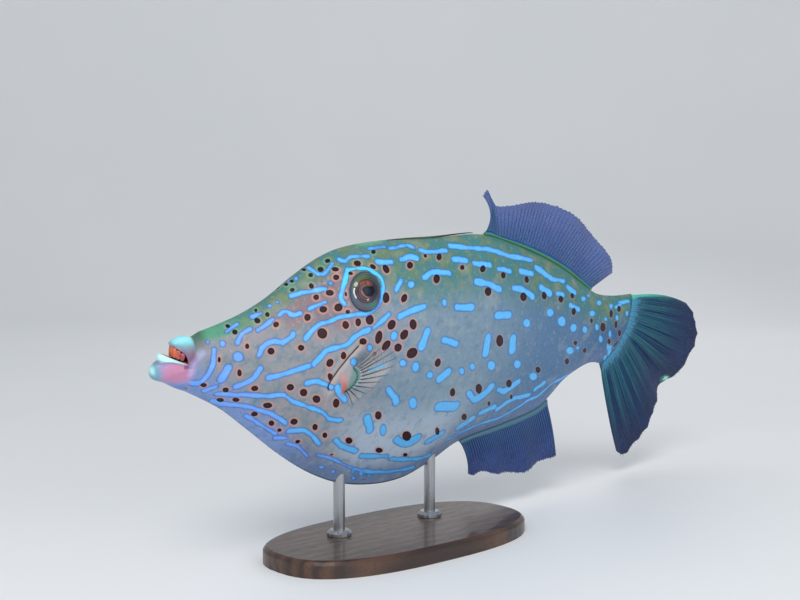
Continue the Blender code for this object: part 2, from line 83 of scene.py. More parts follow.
# The bent middle line: its points and the directions across it, every half percent
def turnAt(s):
    t = float(ease(s, pose["bendStart"], pose["bendEnd"]))
    turns = (("X", pose["bank"]), ("Z", pose["yaw"] * t), ("Y", pose["droop"] * t), ("X", pose["twist"] * t))
    result = Matrix.Identity(3)
    for axis, degrees in turns:
        result = result @ Matrix.Rotation(math.radians(degrees), 3, axis)
    return result


lineStations = np.arange(-2.0, 108.01, 0.5)


def buildLine():
    step = lineStations[1] - lineStations[0]
    heads = np.array([turnAt(s + step / 2).col[0] for s in lineStations[:-1]])
    points = np.vstack([[0, 0, 0], np.cumsum(heads * step * pose["percent"], axis=0)])
    at = int(round((pose["pivotStation"] - lineStations[0]) / step))
    points += np.array(pose["pivot"]) - points[at]
    turns = [turnAt(s) for s in lineStations]
    return points, np.array([t.col[1] for t in turns]), np.array([t.col[2] for t in turns])


linePoints, lineSide, lineUp = buildLine()


def place(s, y, z):
    s, y, z = np.broadcast_arrays(np.asarray(s, float), y, z)
    out = np.empty(s.shape + (3,))
    for axis in range(3):
        out[..., axis] = (np.interp(s, lineStations, linePoints[:, axis])
                          + np.interp(s, lineStations, lineSide[:, axis]) * y * pose["percent"]
                          + np.interp(s, lineStations, lineUp[:, axis]) * z * pose["percent"])
    return out


def section(s, phi):
    top, bottom, mid = curve(backLine, s), curve(bellyLine, s), curve(widestHeight, s)
    u = np.abs(np.cos(phi))
    upper = phi < math.pi / 2
    z = np.where(upper, mid + (top - mid) * u, mid - (mid - bottom) * u)
    inner = np.minimum(u, 1)
    above = (1 - inner ** backPower[0]) ** backPower[1]
    share = np.where(upper, above, (1 - inner ** 2) ** curve(keelPower, s))
    return curve(halfWidth, s) * share, z


def surfaceWidth(s, z):
    s, z = np.broadcast_arrays(np.asarray(s, float), np.asarray(z, float))
    low, high = np.zeros(s.shape), np.full(s.shape, math.pi)
    for _ in range(34):
        phi = (low + high) / 2
        above = section(s, phi)[1] > z
        low, high = np.where(above, phi, low), np.where(above, high, phi)
    return section(s, low)[0]


# Camera, at the photograph's angle; pixel places are in its 800 by 600 frame
view = dict(azimuth=-41.413, elevation=5.0, angle=32.0, distance=1.0181, right=-0.0250, up=0.0252,
            width=800, height=600)


def cameraAxes():
    a, e = math.radians(view["azimuth"]), math.radians(view["elevation"])
    back = Vector((math.sin(a) * math.cos(e), -math.cos(a) * math.cos(e), math.sin(e)))
    right = (-back).cross(Vector((0, 0, 1))).normalized()
    up = right.cross(-back)
    eye = Vector(pose["pivot"]) + back * view["distance"] + right * view["right"] + up * view["up"]
    return eye, right, up, back


def pixelsPerUnit():
    return view["width"] / 2 / math.tan(math.radians(view["angle"] / 2))


def pixelRay(x, y):
    eye, right, up, back = cameraAxes()
    x, y = (x - view["width"] / 2) / pixelsPerUnit(), (y - view["height"] / 2) / pixelsPerUnit()
    return eye, (-back + right * x - up * y).normalized()


def makeCamera():
    eye, right, up, back = cameraAxes()
    data = bpy.data.cameras.new("camera")
    data.sensor_fit = "HORIZONTAL"
    data.angle = math.radians(view["angle"])
    data.clip_start = 0.01
    cam = bpy.data.objects.new("camera", data)
    turn = Matrix((right, up, back)).transposed()
    cam.matrix_world = Matrix.Translation(eye) @ turn.to_4x4()
    bpy.context.scene.collection.objects.link(cam)
    bpy.context.scene.camera = cam


makeCamera()
print("camera placed")


# Shader tools
def rgb(tone):               # screen numbers from 0 to 255 as light; a tone made by nodes stays as it is
    if isinstance(tone, Value):
        return tone
    screen = [c / 255 for c in tone]
    return tuple(c / 12.92 if c <= 0.04045 else ((c + 0.055) / 1.055) ** 2.4 for c in screen) + (1.0,)


def feed(tree, socket, value):
    value = value.socket if isinstance(value, Value) else value
    if isinstance(value, bpy.types.NodeSocket):
        tree.links.new(value, socket)
    else:
        socket.default_value = value


def addNode(tree, kind, settings=None, inputs=None):
    node = tree.nodes.new(kind)
    for key, value in (settings or {}).items():
        setattr(node, key, value)
    for key, value in (inputs or {}).items():
        feed(tree, node.inputs[key], value)
    return node.outputs


class Value:                 # a number or a tone on its way through a material

    def __init__(self, shade, socket):
        self.shade, self.socket = shade, socket

    def math(self, operation, other=None, flip=False):
        pair = (other, self) if flip else (self, other)
        inputs = {i: v for i, v in enumerate(pair) if v is not None}
        return self.shade.add("ShaderNodeMath", {"operation": operation}, inputs)[0]

    def wave(self):
        return self.math("SINE")

    def step(self, start, end, low=0, high=1):      # soft, from low at start to high at end
        return self.shade.add("ShaderNodeMapRange", {"interpolation_type": "SMOOTHSTEP"},
                              {"Value": self, "From Min": start, "From Max": end, "To Min": low,
                               "To Max": high})[0]


# Each operator and its reflected form, so that 1 - mask works too
for word, name in dict(add="ADD", sub="SUBTRACT", mul="MULTIPLY", truediv="DIVIDE", pow="POWER").items():
    setattr(Value, f"__{word}__", lambda self, other, name=name: self.math(name, other))
    setattr(Value, f"__r{word}__", lambda self, other, name=name: self.math(name, other, True))


class Shade:                 # one material, with its colour so far

    def __init__(self, name):
        self.material = bpy.data.materials.new(name)
        self.material.use_nodes = True
        self.tree = self.material.node_tree
        self.color = None

    def add(self, kind, settings=None, inputs=None):
        return [Value(self, out) for out in addNode(self.tree, kind, settings, inputs)]

    def read(self, *names):
        return [self.add("ShaderNodeAttribute", {"attribute_name": name})[2] for name in names]

    def where(self, stretch=None):
        at = self.add("ShaderNodeTexCoord")[3]
        return self.add("ShaderNodeMapping", None, {"Vector": at, "Scale": stretch})[0] if stretch else at

    def noise(self, scale, detail, rough=0.5, stretch=None):
        inputs = {"Vector": self.where(stretch), "Scale": scale, "Detail": detail, "Roughness": rough}
        return self.add("ShaderNodeTexNoise", None, inputs)[0]

    def mix(self, factor, a, b):
        if isinstance(b, float):
            return self.add("ShaderNodeMix", {"data_type": "FLOAT"}, {0: factor, 2: a, 3: b})[0]
        return self.add("ShaderNodeMix", {"data_type": "RGBA"}, {0: factor, 6: rgb(a), 7: rgb(b)})[2]

    def coat(self, mask, tone):      # a tone over the colour so far
        self.color = self.mix(mask, self.color, tone)

    def bump(self, height, strength, distance):
        inputs = {"Height": height, "Strength": strength, "Distance": distance}
        return self.add("ShaderNodeBump", None, inputs)[0]

    def finish(self, **inputs):
        for key, value in dict(inputs, Base_Color=self.color).items():
            feed(self.tree, self.tree.nodes["Principled BSDF"].inputs[key.replace("_", " ")], value)
        return self.material


# Mesh tools
def makeMesh(name, points, faces, material=None, attributes=None, edges=()):
    mesh = bpy.data.meshes.new(name)
    mesh.from_pydata(np.asarray(points).tolist(), edges, faces)
    if material:
        mesh.materials.append(material)
    for key, values in (attributes or {}).items():
        layer = mesh.attributes.new(key, "FLOAT", "POINT")
        layer.data.foreach_set("value", np.asarray(values, np.float32))
    mesh.shade_smooth()
    mesh.update()
    ob = bpy.data.objects.new(name, mesh)
    bpy.context.scene.collection.objects.link(ob)
    return ob


def faceOut(ob):
    bm = bmesh.new()
    bm.from_mesh(ob.data)
    bmesh.ops.recalc_face_normals(bm, faces=bm.faces[:])
    bm.to_mesh(ob.data)
    bm.free()


def gridFaces(rows, columns):
    k, i = np.meshgrid(np.arange(rows - 1), np.arange(columns), indexing="ij")
    j = (i + 1) % columns
    quads = np.stack([k * columns + i, k * columns + j, (k + 1) * columns + j, (k + 1) * columns + i], -1)
    return quads.reshape(-1, 4).tolist()


# Rings with a fan at each end; the two poles are the last points
def closedFaces(rings, columns, count):
    faces = gridFaces(rings, columns)
    last = (rings - 1) * columns
    for i in range(columns):
        j = (i + 1) % columns
        faces += [(i, count - 2, j), (last + i, last + j, count - 1)]
    return faces


# Skin: one closed mesh from inside the mouth, over the lips and along the body to the tail fin
skinSet = dict(around=256, headRings=165, rearRings=165, headFrom=6.0, headTo=30.0, lipSteps=4)
# Lip rings from deep in the mouth outwards: top (s, z), corner (s, y, z), bottom (s, z), and how
# steeply the upper edge falls to the corner
lipKeys = [(4.9, 0.8, 5.3, 0.45, 0, 4.4, -0.4, 0.85), (3.6, 1.3, 4.8, 0.65, -0.15, 2.6, 0.1, 0.6),
           (2.7, 1.58, 4.45, 0.85, -0.25, 1.55, 0.70, 0.5), (2.42, 1.70, 4.32, 0.99, -0.3, 1.28, 0.93, 0.45),
           (2.3, 1.86, 4.22, 1.10, -0.36, 0.98, 0.72, 0.5), (2.36, 2.05, 4.18, 1.17, -0.44, 0.98, 0.36, 0.55),
           (2.5, 2.22, 4.16, 1.15, -0.52, 1.12, 0.12, 0.6), (2.75, 2.37, 4.2, 1.25, -0.52, 0.62, -0.2, 0.65),
           (3.1, 2.5, 4.3, 1.32, -0.45, 0.22, -0.95, 0.7), (3.55, 2.6, 4.42, 1.37, -0.35, 0.58, -1.75, 0.75),
           (4.05, 2.63, 4.6, 1.4, -0.2, 1.97, -2.3, 0.8), (4.6, 2.52, 4.85, 1.42, -0.05, 3.4, -3.02, 0.85),
           (5.05, 2.42, 5.2, 1.44, 0.05, 4.6, -3.48, 0.85)]
mouthPole = (5.6, 0, 0.15)
eyeSet = dict(station=25.1, height=7.2, radius=2.4, depth=1.65, bulge=1, trim=0.28,
              seenAt=(366.9, 291.2))
slitLine = [(24.9, 1.1), (23.8, -0.1), (22.7, -1.6), (21.9, -2.95), (21.7, -3.8), (21.95, -4.25)]
lipCrease = [(5.1, 2.5), (4.85, 1.6), (4.62, 1), (4.4, 0.2), (4.25, -0.5)]
cheekFold = [(5.6, 1), (5.1, 0.4), (4.8, -0.1), (4.5, -1.3)]
stripLine = [(23, -2.3), (23.5, -3.2), (23.8, -4.1), (23.8, -4.6)]
pad = dict(station=24.3, height=-2.95, along=1.75, across=1.2, lean=0.126, rise=0.42)
nostrils = [(19.9, 8.15, 0.24), (20.55, 7.95, 0.2)]
# How far each form stands out of the flank, or goes into it
rises = dict(brow=0.08, lid=0.15, socket=-0.9, nostrilRim=0.10, nostril=-0.22, slitEdge=0.05, slit=-0.2,
             crease=-0.06, fold=0.09, foldFoot=-0.05)


def lipRing(key, phi):
    sTop, zTop, sCorner, yCorner, zCorner, sBottom, zBottom, arch = key
    c = np.abs(np.cos(phi))
    upper = phi < math.pi / 2
    under = 0.5 if -0.3 < zBottom < 0.4 else 0.85      # the lower lip thins out towards the corner
    s = sCorner + np.where(upper, (sTop - sCorner) * c ** 1.1, (sBottom - sCorner) * c ** 0.85)
    z = zCorner + np.where(upper, (zTop - zCorner) * c ** arch, (zBottom - zCorner) * c ** under)
    return np.stack([s, yCorner * np.sin(phi) ** 0.9, z], -1)


def bodyRing(q, count):
    phi = np.linspace(0, math.pi, 721)
    rounding = tailEnd["round"] * float(ease(q, tailEnd["roundFrom"], tailEnd["station"]))
    s = np.full(phi.shape, q)
    for _ in range(8):
        width, z = section(s, phi)
        s = q - rounding * (z - tailEnd["middle"]) ** 2
    along = np.concatenate([[0], np.cumsum(np.hypot(np.diff(width), np.diff(z)))])
    at = np.interp(np.linspace(0, along[-1], count), along, phi)
    return np.stack([np.interp(at, phi, s), np.interp(at, phi, width), np.interp(at, phi, z)], -1), at


def smoothRows(rows, steps):
    rows = np.array(rows)
    out = []
    for k in range(len(rows) - 1):
        a, b, c, d = rows[max(k - 1, 0)], rows[k], rows[k + 1], rows[min(k + 2, len(rows) - 1)]
        for i in range(steps):
            t = i / steps
            out.append(0.5 * (2 * b + (c - a) * t + (2 * a - 5 * b + 4 * c - d) * t ** 2
                              + (3 * b - 3 * c + d - a) * t ** 3))
    return out


def lineDistance(s, z, path):
    best = np.full(s.shape, 99.0)
    for (s0, z0), (s1, z1) in zip(path[:-1], path[1:]):
        ds, dz = s1 - s0, z1 - z0
        t = np.clip(((s - s0) * ds + (z - z0) * dz) / (ds * ds + dz * dz), 0, 1)
        best = np.minimum(best, np.hypot(s - s0 - t * ds, z - z0 - t * dz))
    return best


def hill(distance, width):
    return np.exp(-(distance / width) ** 2)


# Lids, nostrils, gill slit, pads and folds are pushed out of the flanks or into them
def relief(points):
    s, y, z = points.T
    eyeY = float(surfaceWidth(eyeSet["station"], eyeSet["height"]))
    behind = s - eyeSet["station"]
    behind = behind + eyeSet["trim"] * ease(behind, 0.8, 2.2)
    d = np.sqrt(behind ** 2 + (z - eyeSet["height"]) ** 2 + (np.abs(y) - eyeY) ** 2)
    push = rises["brow"] * hill(d, 3.6) + rises["lid"] * hill(d - 2.55, 0.32)
    push += rises["socket"] * (1 - ease(d, 1.75, 2.25))
    for at, height, size in nostrils:
        n = np.hypot(s - at, z - height)
        push += rises["nostrilRim"] * hill(n - size * 1.3, size * 0.5)
        push += rises["nostril"] * hill(n, size * 0.75)
    slit = lineDistance(s, z, slitLine)
    push += rises["slitEdge"] * hill(slit - 0.5, 0.4) + rises["slit"] * hill(slit, 0.2)
    slitHeights, slitStations = zip(*sorted((b, a) for a, b in slitLine))
    slit = slit * np.where(s < np.interp(z, slitHeights, slitStations), -1, 1)
    high = z - pad["height"]
    padShare = np.hypot(high / pad["along"], (s - pad["station"] - pad["lean"] * high) / pad["across"])
    push += pad["rise"] * (1 - ease(padShare, 0.35, 1.3))
    fold = lineDistance(s, z, cheekFold)
    push += rises["crease"] * hill(lineDistance(s, z, lipCrease), 0.3)
    push += rises["fold"] * hill(fold, 0.3) + rises["foldFoot"] * hill(fold - 0.6, 0.2)
    out = points.copy()
    out[:, 1] += np.sign(y) * push * np.clip(np.abs(y) / 0.5, 0, 1)
    return out, dict(slitSide=slit, padShare=padShare, foldAway=fold, stripAway=lineDistance(s, z, stripLine),
                     eyeAway=d, belowBack=curve(backLine, s) - z, aboveBelly=z - curve(bellyLine, s))


def buildSkinRings():
    half = skinSet["around"] // 2 + 1
    middle = skinSet["headTo"]
    stations = np.concatenate([np.linspace(skinSet["headFrom"], middle, skinSet["headRings"], False),
                               np.linspace(middle, tailEnd["station"], skinSet["rearRings"])])
    first, phi = bodyRing(stations[0], half)
    second = bodyRing(stations[1], half)[0]
    keys = [lipRing(key, phi) for key in lipKeys] + [first, second]
    halves = smoothRows(keys, skinSet["lipSteps"])[:-skinSet["lipSteps"]]
    for q in stations:
        ring = bodyRing(q, half)[0]
        ring[:, 1] *= 1 - 0.45 * float(ease(q, 77.2, tailEnd["station"]))
        halves.append(ring)
    return np.array([np.vstack([ring * np.array([1, -1, 1]), ring[-2:0:-1]]) for ring in halves])


skinRings = buildSkinRings()
ringCount, around = skinRings.shape[:2]
tailPole = (tailEnd["station"] - 0.4, 0.0, tailEnd["middle"])
flat = np.vstack([skinRings.reshape(-1, 3), mouthPole, tailPole])      # the skin before relief and pose
straight, zones = relief(flat)
skinFaces = closedFaces(ringCount, around, len(flat))
skinPoints = place(*straight.T)
print("skin shaped:", len(skinPoints), "points")

# Markings. Blue scrawls and dark spots of the left flank, read from the photo:
# a width and the middle line for a scrawl, or centre, width and height for a dot, in pixels.
scrawls = [
    (5.5, (214, 350), (213, 364), (208, 375), (199, 383), (189, 383)), (8.5, (228, 369), (222, 379)),
    (6, (260, 369), (254, 378), (245, 383), (236, 387)), (3.5, (226, 332), (237, 324)),
    (6, (238, 342), (242, 334), (250, 329)), (5.5, (257.6, 330.6), (265, 325.5), (273, 319)),
    (5, (252, 317), (261, 313)), (6, (279, 315), (286, 311), (293, 315), (301, 313)),
    (5.5, (309, 309), (317.5, 305), (325, 302)),
    (6, (259, 355), (264, 346), (272, 341.5), (283, 342), (291, 337), (293, 334)),
    (6.5, (268, 378), (280.5, 375), (296, 370), (308.6, 366)),
    (6, (314, 364), (321, 357), (328.5, 350), (346, 345), (356.5, 336), (368, 330)),
    (5.5, (306, 338.5), (312, 331), (319, 325), (330, 321.5), (341, 317), (356.5, 314.4), (366, 312)),
    (5, (217, 394), (245, 395), (268, 396), (283, 395), (293, 401), (308, 407), (322, 412), (330, 419),
     (341, 420)),
    (5, (213, 401), (224, 404), (245, 406), (258, 410), (270, 413.5), (280.5, 419), (285.6, 423)),
    (4.5, (246, 415.5), (258, 423), (275, 433.6)), (4, (275, 438), (286, 438)),
    (5, (205, 390.6), (215.5, 386.7)), (6, (307, 383), (317.5, 381.6), (331, 387)),
    (5.5, (290, 431), (304, 430.5), (313, 436.6), (319, 444)), (4, (287, 443.5), (298, 447), (307, 456.5)),
    (3.5, (318, 455), (333, 459), (347, 466), (365, 471), (384, 472), (404, 469.5), (414, 467)),
    (4.5, (361, 456), (387, 456.5)), (3.5, (391, 459), (417, 459), (430, 455)),
    (6, (336, 440), (342, 446), (356, 451)), (8, (367, 418), (370, 430.5)),
    (8, (396, 440), (406.6, 443), (417, 438)), (8, (388, 389), (394, 397), (396, 402)),
    (3, (368, 248.7), (384, 246.8)), (4, (390, 248.7), (404, 246)), (4, (408, 245), (413, 247)),
    (5, (420, 250), (430.5, 252), (446, 250)),
    (5, (450, 245.6), (472, 248), (491, 250), (511, 256), (532, 260)),
    (5, (536, 267), (548, 276), (555, 279.5), (564, 281)), (4.5, (567.6, 286.5), (575, 293)),
    (4.5, (339, 259.5), (345, 261), (351, 257), (369, 256)), (6, (377, 262), (392, 262)),
    (6.5, (401, 259.5), (409, 257), (416.5, 258)), (6.5, (424, 278), (433, 271.7), (449.6, 273)),
    (6, (453, 259), (466.5, 261.5)), (6.5, (474, 263), (490, 265)), (5.5, (498, 269), (510, 271)),
    (6, (520, 270.6), (532, 274)), (7, (476, 282), (488.5, 284), (500, 290)),
    (6.5, (513, 288), (523, 290), (533, 297)), (6.5, (541, 287), (550, 293.5)), (6, (557, 293), (563, 295)),
    (5.5, (570, 305), (579, 310)), (8, (457, 307.6), (472.5, 307.6)), (8.5, (497, 315.5), (509.5, 315.5)),
    (7.5, (427, 332), (422, 346)), (8.5, (444, 339.6), (456.5, 344)), (7, (487.7, 337.7), (485.8, 353)),
    (7, (512.6, 338), (512.6, 350)), (7, (440, 378.5), (447.6, 372.7)),
    (7, (469, 392.5), (474, 399), (483, 395), (491, 387)), (6, (498.6, 389), (505, 391), (518, 382)),
    (9, (438.6, 406.5), (455, 406.5)), (6, (459, 427), (472, 419)), (5, (480.7, 413), (494.7, 406.5)),
    (4.5, (497, 410), (511, 400), (529, 395)),
    (3, (447.6, 439.7), (460, 433), (479, 424), (498.6, 418), (515, 409), (529, 400), (538, 396),
     (551.6, 384), (574, 372)), (5.5, (428, 441), (442, 433)), (4.5, (535, 389.6), (544.5, 382.5)),
    (5, (396, 290), (401, 281)), (7, (400, 316), (412, 311), (424, 306.5)),
    (5, (374.5, 327.5), (389, 314.5)), (4, (308.6, 268), (318, 274), (325, 273), (333, 263)),
    (5.5, (291, 296), (305, 292), (325, 289)),
    (5, (347.4, 270), (345, 280), (342, 290), (341, 298.5), (345.4, 305)),
    (3.6, (347.4, 269.7), (357.8, 268.4), (366.4, 268.4), (371.5, 270.4), (376.9, 274.1), (381.5, 279.3),
     (383.6, 285.3), (383.4, 291.5)),
    (5, (383.4, 290), (381.8, 297), (379.2, 303.8), (375.6, 308.2), (368.6, 312.6), (361, 314.8),
     (352.6, 315.5)), (7.5, (337, 387), (340, 393.5), (345.5, 400.5)),
]
blueDots = [
    (207.6, 341.5, 4, 6), (223, 343.4, 7, 8), (238, 357, 11, 11), (270, 306, 5, 4), (277, 302, 5, 4),
    (321, 467, 8, 4), (333, 471.5, 5, 4), (344, 476, 5, 3), (353, 478, 5, 3.5), (364.5, 479, 6, 2),
    (383, 430.5, 7, 13), (413, 403.7, 9, 12), (444.5, 303, 6, 10), (394, 336, 7, 10), (370, 348, 6, 8),
    (403, 363, 7.5, 8), (416, 367, 7.5, 10.5), (430, 375, 7.5, 8), (461.6, 371.5, 6.5, 8),
    (472.7, 367, 6.5, 8.5), (491, 366, 8.5, 11), (517.7, 364, 8, 9), (533, 376.7, 8.5, 8), (570, 351, 9, 8),
    (577.5, 348, 4, 6), (550, 312.7, 8.5, 9.5), (562, 321.6, 8.5, 11), (527, 323, 8, 10),
    (592, 313.7, 6.5, 6.5), (573.5, 328, 7, 9), (585, 330, 5.5, 8), (583.5, 299, 5, 5),
    (588.6, 296, 4.5, 4), (599, 303, 5.5, 5.5), (604, 299, 3.5, 3.5), (611, 306, 4, 6), (619.6, 305, 6, 4),
    (605.6, 319, 4, 5), (597, 327, 4, 7), (617, 317.5, 3.5, 6), (627, 313, 3, 6), (626.6, 301.4, 8, 4),
    (600.7, 338.6, 4, 8), (610, 334, 3, 9), (608, 347, 3, 9), (605, 358, 4, 7), (296, 278.5, 4, 6),
    (330.5, 283, 5, 4), (411, 284.5, 7, 8), (353.5, 361.8, 6.5, 9),
]
darkSpots = [
    (255.6, 310.5, 3, 3), (267.4, 314.3, 4.5, 4.5), (257.3, 320.8, 6, 5.5), (276.4, 324.2, 5.5, 5.5),
    (227.6, 325.9, 4, 3), (235, 332, 4.5, 4.5), (247.3, 346.2, 4, 5), (270.9, 351.4, 6.5, 6.5),
    (300.9, 347.5, 5.5, 5.5), (307.4, 317.2, 6, 7), (323.3, 309.7, 7.5, 7), (322, 333.5, 9.5, 10),
    (219.3, 359.6, 3, 5), (239.7, 373, 4.5, 6), (186.8, 379, 2, 2), (185.5, 388.3, 4, 1.5),
    (203.7, 385.2, 6, 4.5), (225.4, 390, 5.5, 4.5), (254.5, 388.3, 6.5, 5), (290.5, 387, 6.5, 6),
    (303.7, 392.3, 7.5, 7), (316.6, 399.2, 7.5, 7), (220.3, 400, 6.5, 3.5), (235.9, 400, 7, 3.5),
    (267.5, 405.7, 8.5, 5), (254.4, 414, 6.5, 4), (271.3, 423.2, 5.5, 4.5), (294.3, 421.7, 7, 5.5),
    (279.5, 430.2, 4, 3), (297.5, 441.5, 4.5, 3), (315, 427.3, 5.5, 6), (324.8, 435.5, 5, 5),
    (373.5, 252, 4.5, 4), (357.2, 263.4, 7, 5.5), (327.8, 260.6, 4.5, 4), (320.8, 269.4, 6, 4.5),
    (335.7, 269, 6.5, 4.5), (310.4, 275, 5, 4.5), (336.4, 277.4, 5.5, 5), (303.6, 269.5, 4, 2.5),
    (291.5, 281.2, 4, 3), (292.4, 289.6, 4, 4), (311, 286.3, 5, 5), (329.7, 292.4, 8, 5.5),
    (316.4, 297.2, 5.5, 5.5), (338.4, 307.4, 8, 7.5), (348, 311.8, 5, 4), (345.7, 324.6, 7, 8),
    (358.2, 322, 5.5, 8), (369.7, 320, 7.5, 9), (363.2, 341.2, 6.5, 6), (343.8, 355.6, 5, 7),
    (329.7, 362.5, 6.5, 8, 25), (330.5, 377.6, 4.5, 7), (336.2, 403, 6.5, 8.5), (379, 337.3, 6.5, 13.5, 14),
    (386.5, 345.6, 6.5, 11, 35), (391.9, 324.8, 7.5, 9.5, 20), (385.9, 297.8, 6.5, 10.5),
    (404.4, 298, 5.5, 8, 10), (385.9, 269, 5.5, 8, -22), (373, 266.8, 3.8, 6, -55), (409.7, 265.3, 5.5, 7),
    (439.4, 256.7, 5, 7.5), (425.4, 256, 3.5, 3.5), (186.8, 379.1, 4, 3.5), (436.3, 278.7, 6.5, 8),
    (461.9, 267.5, 4, 6), (404.4, 333.9, 7, 9.5, 25), (413, 324.8, 6.5, 10), (398.2, 347.6, 6.5, 7.5),
    (411.8, 353, 9, 12, 35), (374.4, 354.6, 4, 5.5, 35), (437.6, 362.5, 5.5, 8.5, 20), (350.8, 273.6, 5, 4),
    (346.3, 294, 2, 4), (377.8, 415.5, 6.5, 8), (499.8, 340.8, 7, 11.5), (453, 391.9, 5, 8.5),
    (478.8, 389, 6.5, 9), (509.2, 383.5, 5, 7.5), (464, 417.4, 5, 6.5), (489, 403.6, 2.5, 4),
    (511, 397, 3, 4.5), (437, 431.4, 4, 8), (407, 435.6, 8.5, 9.5), (348.7, 440.7, 6.5, 6),
    (379.3, 450.3, 6, 5), (405, 454.6, 4, 3), (331.9, 454.6, 3, 2), (538, 370, 5, 6), (482.7, 268.9, 5, 6),
    (503.5, 275.3, 4.5, 6), (526.7, 279.5, 4, 6), (488.2, 291.9, 6.5, 8.5), (523.5, 297, 6.5, 8.5),
    (544.3, 295.4, 4.5, 7), (560.9, 298.9, 4.5, 6.5), (572.3, 295.4, 3.5, 5), (573.9, 311.6, 4, 6.5),
    (591.5, 320.6, 2.5, 5), (603, 327, 5, 9), (611.2, 313.5, 3, 7), (619, 308.5, 3.5, 6),
    (616, 324.3, 3, 7), (609, 341.4, 3, 6), (619.6, 333, 3, 6), (620.8, 343.8, 3.5, 7),
    (575.4, 343, 3, 4.5), (567, 361.3, 4, 6), (584.6, 350.5, 3, 4.5),
]
# How far beyond a mark its distance is worked out, in percent, the photo's pixels to a percent, how much
# a slanting flank may widen a scrawl, and how a mark that just misses the outline is pulled inwards
markSet = dict(reach=0.7, pixels=8.0, widest=1.6, middle=(430, 335), tries=16, pull=0.012)
farSide = dict(stationShift=1.0, heightShift=0.9, stationWave=(0.34, 0.55, 1.3),
               heightWave=(0.27, -0.48, 4.0))
bodyTree = BVHTree.FromPolygons(skinPoints.tolist(), skinFaces)


# The place on the straight skin that is seen at a pixel
def onSkin(x, y):
    spot = Vector((x, y))
    for _ in range(markSet["tries"]):
        eye, heading = pixelRay(*spot)
        hit, _, index, _ = bodyTree.ray_cast(eye, heading)
        if hit is not None:
            corners = skinFaces[index]
            away = np.array([1.0 / (1e-7 + (Vector(skinPoints[c]) - hit).length) for c in corners])
            return (flat[list(corners)] * away[:, None]).sum(0) / away.sum()
        spot = spot.lerp(Vector(markSet["middle"]), markSet["pull"])
    return None


def bend(points):
    if len(points) == 2:
        return [Vector(points[0]).lerp(Vector(points[1]), t) for t in (0, 0.5, 1)]
    return [Vector(p) for p in smoothRows(points, 4)] + [Vector(points[-1])]


def traceScrawl(width, points):
    line = bend(points)
    trail = []
    for k, spot in enumerate(line):
        along = (line[min(k + 1, len(line) - 1)] - line[max(k - 1, 0)]).normalized()
        across = Vector((-along.y, along.x)) * width / 2
        middle, one, other = onSkin(*spot), onSkin(*(spot + across)), onSkin(*(spot - across))
        if middle is None or one is None or other is None:
            continue
        half = min(np.linalg.norm(one - other), markSet["widest"] * width / markSet["pixels"]) / 2
        trail.append((middle, half))
    return trail


def traceSpot(x, y, width, height, lean=0):
    centre = onSkin(x, y)
    turn = math.radians(lean)
    wx, wy = math.cos(turn) * width / 2, math.sin(turn) * width / 2
    hx, hy = -math.sin(turn) * height / 2, math.cos(turn) * height / 2
    found = [onSkin(x + a, y + b) for a, b in ((wx, wy), (-wx, -wy), (hx, hy), (-hx, -hy))]
    if centre is None or any(f is None for f in found):
        return None
    return centre, (found[0] - found[1]) / 2, (found[2] - found[3]) / 2


# A mirrored place, shifted a little so that the two flanks aren't twins
def toFarSide(point):
    s, y, z = point
    a, b, c = farSide["stationWave"]
    d, e, f = farSide["heightWave"]
    shift = farSide["stationShift"] * math.sin(a * s + b * z + c) * min(1.0, s / 20)
    rise = farSide["heightShift"] * math.sin(d * s + e * z + f) * min(1.0, s / 20)
    inside = min(max((z + rise - curve(bellyLine, s)) / (curve(backLine, s) - curve(bellyLine, s)), 0), 1)
    rise *= min(1.0, 4 * inside, 4 * (1 - inside))
    s, z = s + shift, z + rise
    return np.array([s, float(surfaceWidth(s, z)), z])


def drawScrawls(field, traces):
    for trail in traces:
        for (p, hp), (q, hq) in zip(trail[:-1], trail[1:]):
            reach = max(hp, hq) + markSet["reach"]
            near = np.all((flat > np.minimum(p, q) - reach) & (flat < np.maximum(p, q) + reach), axis=1)
            at = np.nonzero(near)[0]
            rel, run = flat[at] - p, q - p
            t = np.clip(rel @ run / max(run @ run, 1e-9), 0, 1)
            away = np.linalg.norm(rel - t[:, None] * run, axis=1) - (hp + (hq - hp) * t)
            field[at] = np.minimum(field[at], away)


def drawSpots(field, spots):
    for centre, a, b in spots:
        reach = max(np.linalg.norm(a), np.linalg.norm(b)) + markSet["reach"]
        at = np.nonzero(np.all(np.abs(flat - centre) < reach, axis=1))[0]
        rel = flat[at] - centre
        g = np.linalg.inv([[a @ a, a @ b], [a @ b, b @ b]])
        share = np.stack([rel @ a, rel @ b], -1) @ g
        r = np.sqrt((share ** 2).sum(1))
        mean = math.sqrt(np.linalg.norm(a) * np.linalg.norm(b))
        field[at] = np.minimum(field[at], (r - 1) * mean)


def otherSpot(spot):
    centre, a, b = spot
    flip = np.array([1, -1, 1])
    return toFarSide(centre), a * flip, b * flip


scrawlTraces = [t for t in (traceScrawl(s[0], s[1:]) for s in scrawls) if len(t) > 1]
dotTraces = [t for t in (traceSpot(*d) for d in blueDots) if t]
spotTraces = [t for t in (traceSpot(*d) for d in darkSpots) if t]
blueField = np.full(len(flat), 2.0)
darkField = np.full(len(flat), 2.0)
drawScrawls(blueField, scrawlTraces)
drawScrawls(blueField, [[(toFarSide(p), h) for p, h in trail] for trail in scrawlTraces])
drawSpots(blueField, dotTraces + [otherSpot(t) for t in dotTraces])
drawSpots(darkField, spotTraces + [otherSpot(t) for t in spotTraces])
print("marks drawn:", len(scrawlTraces), "scrawls,", len(dotTraces), "dots,", len(spotTraces), "dark spots")


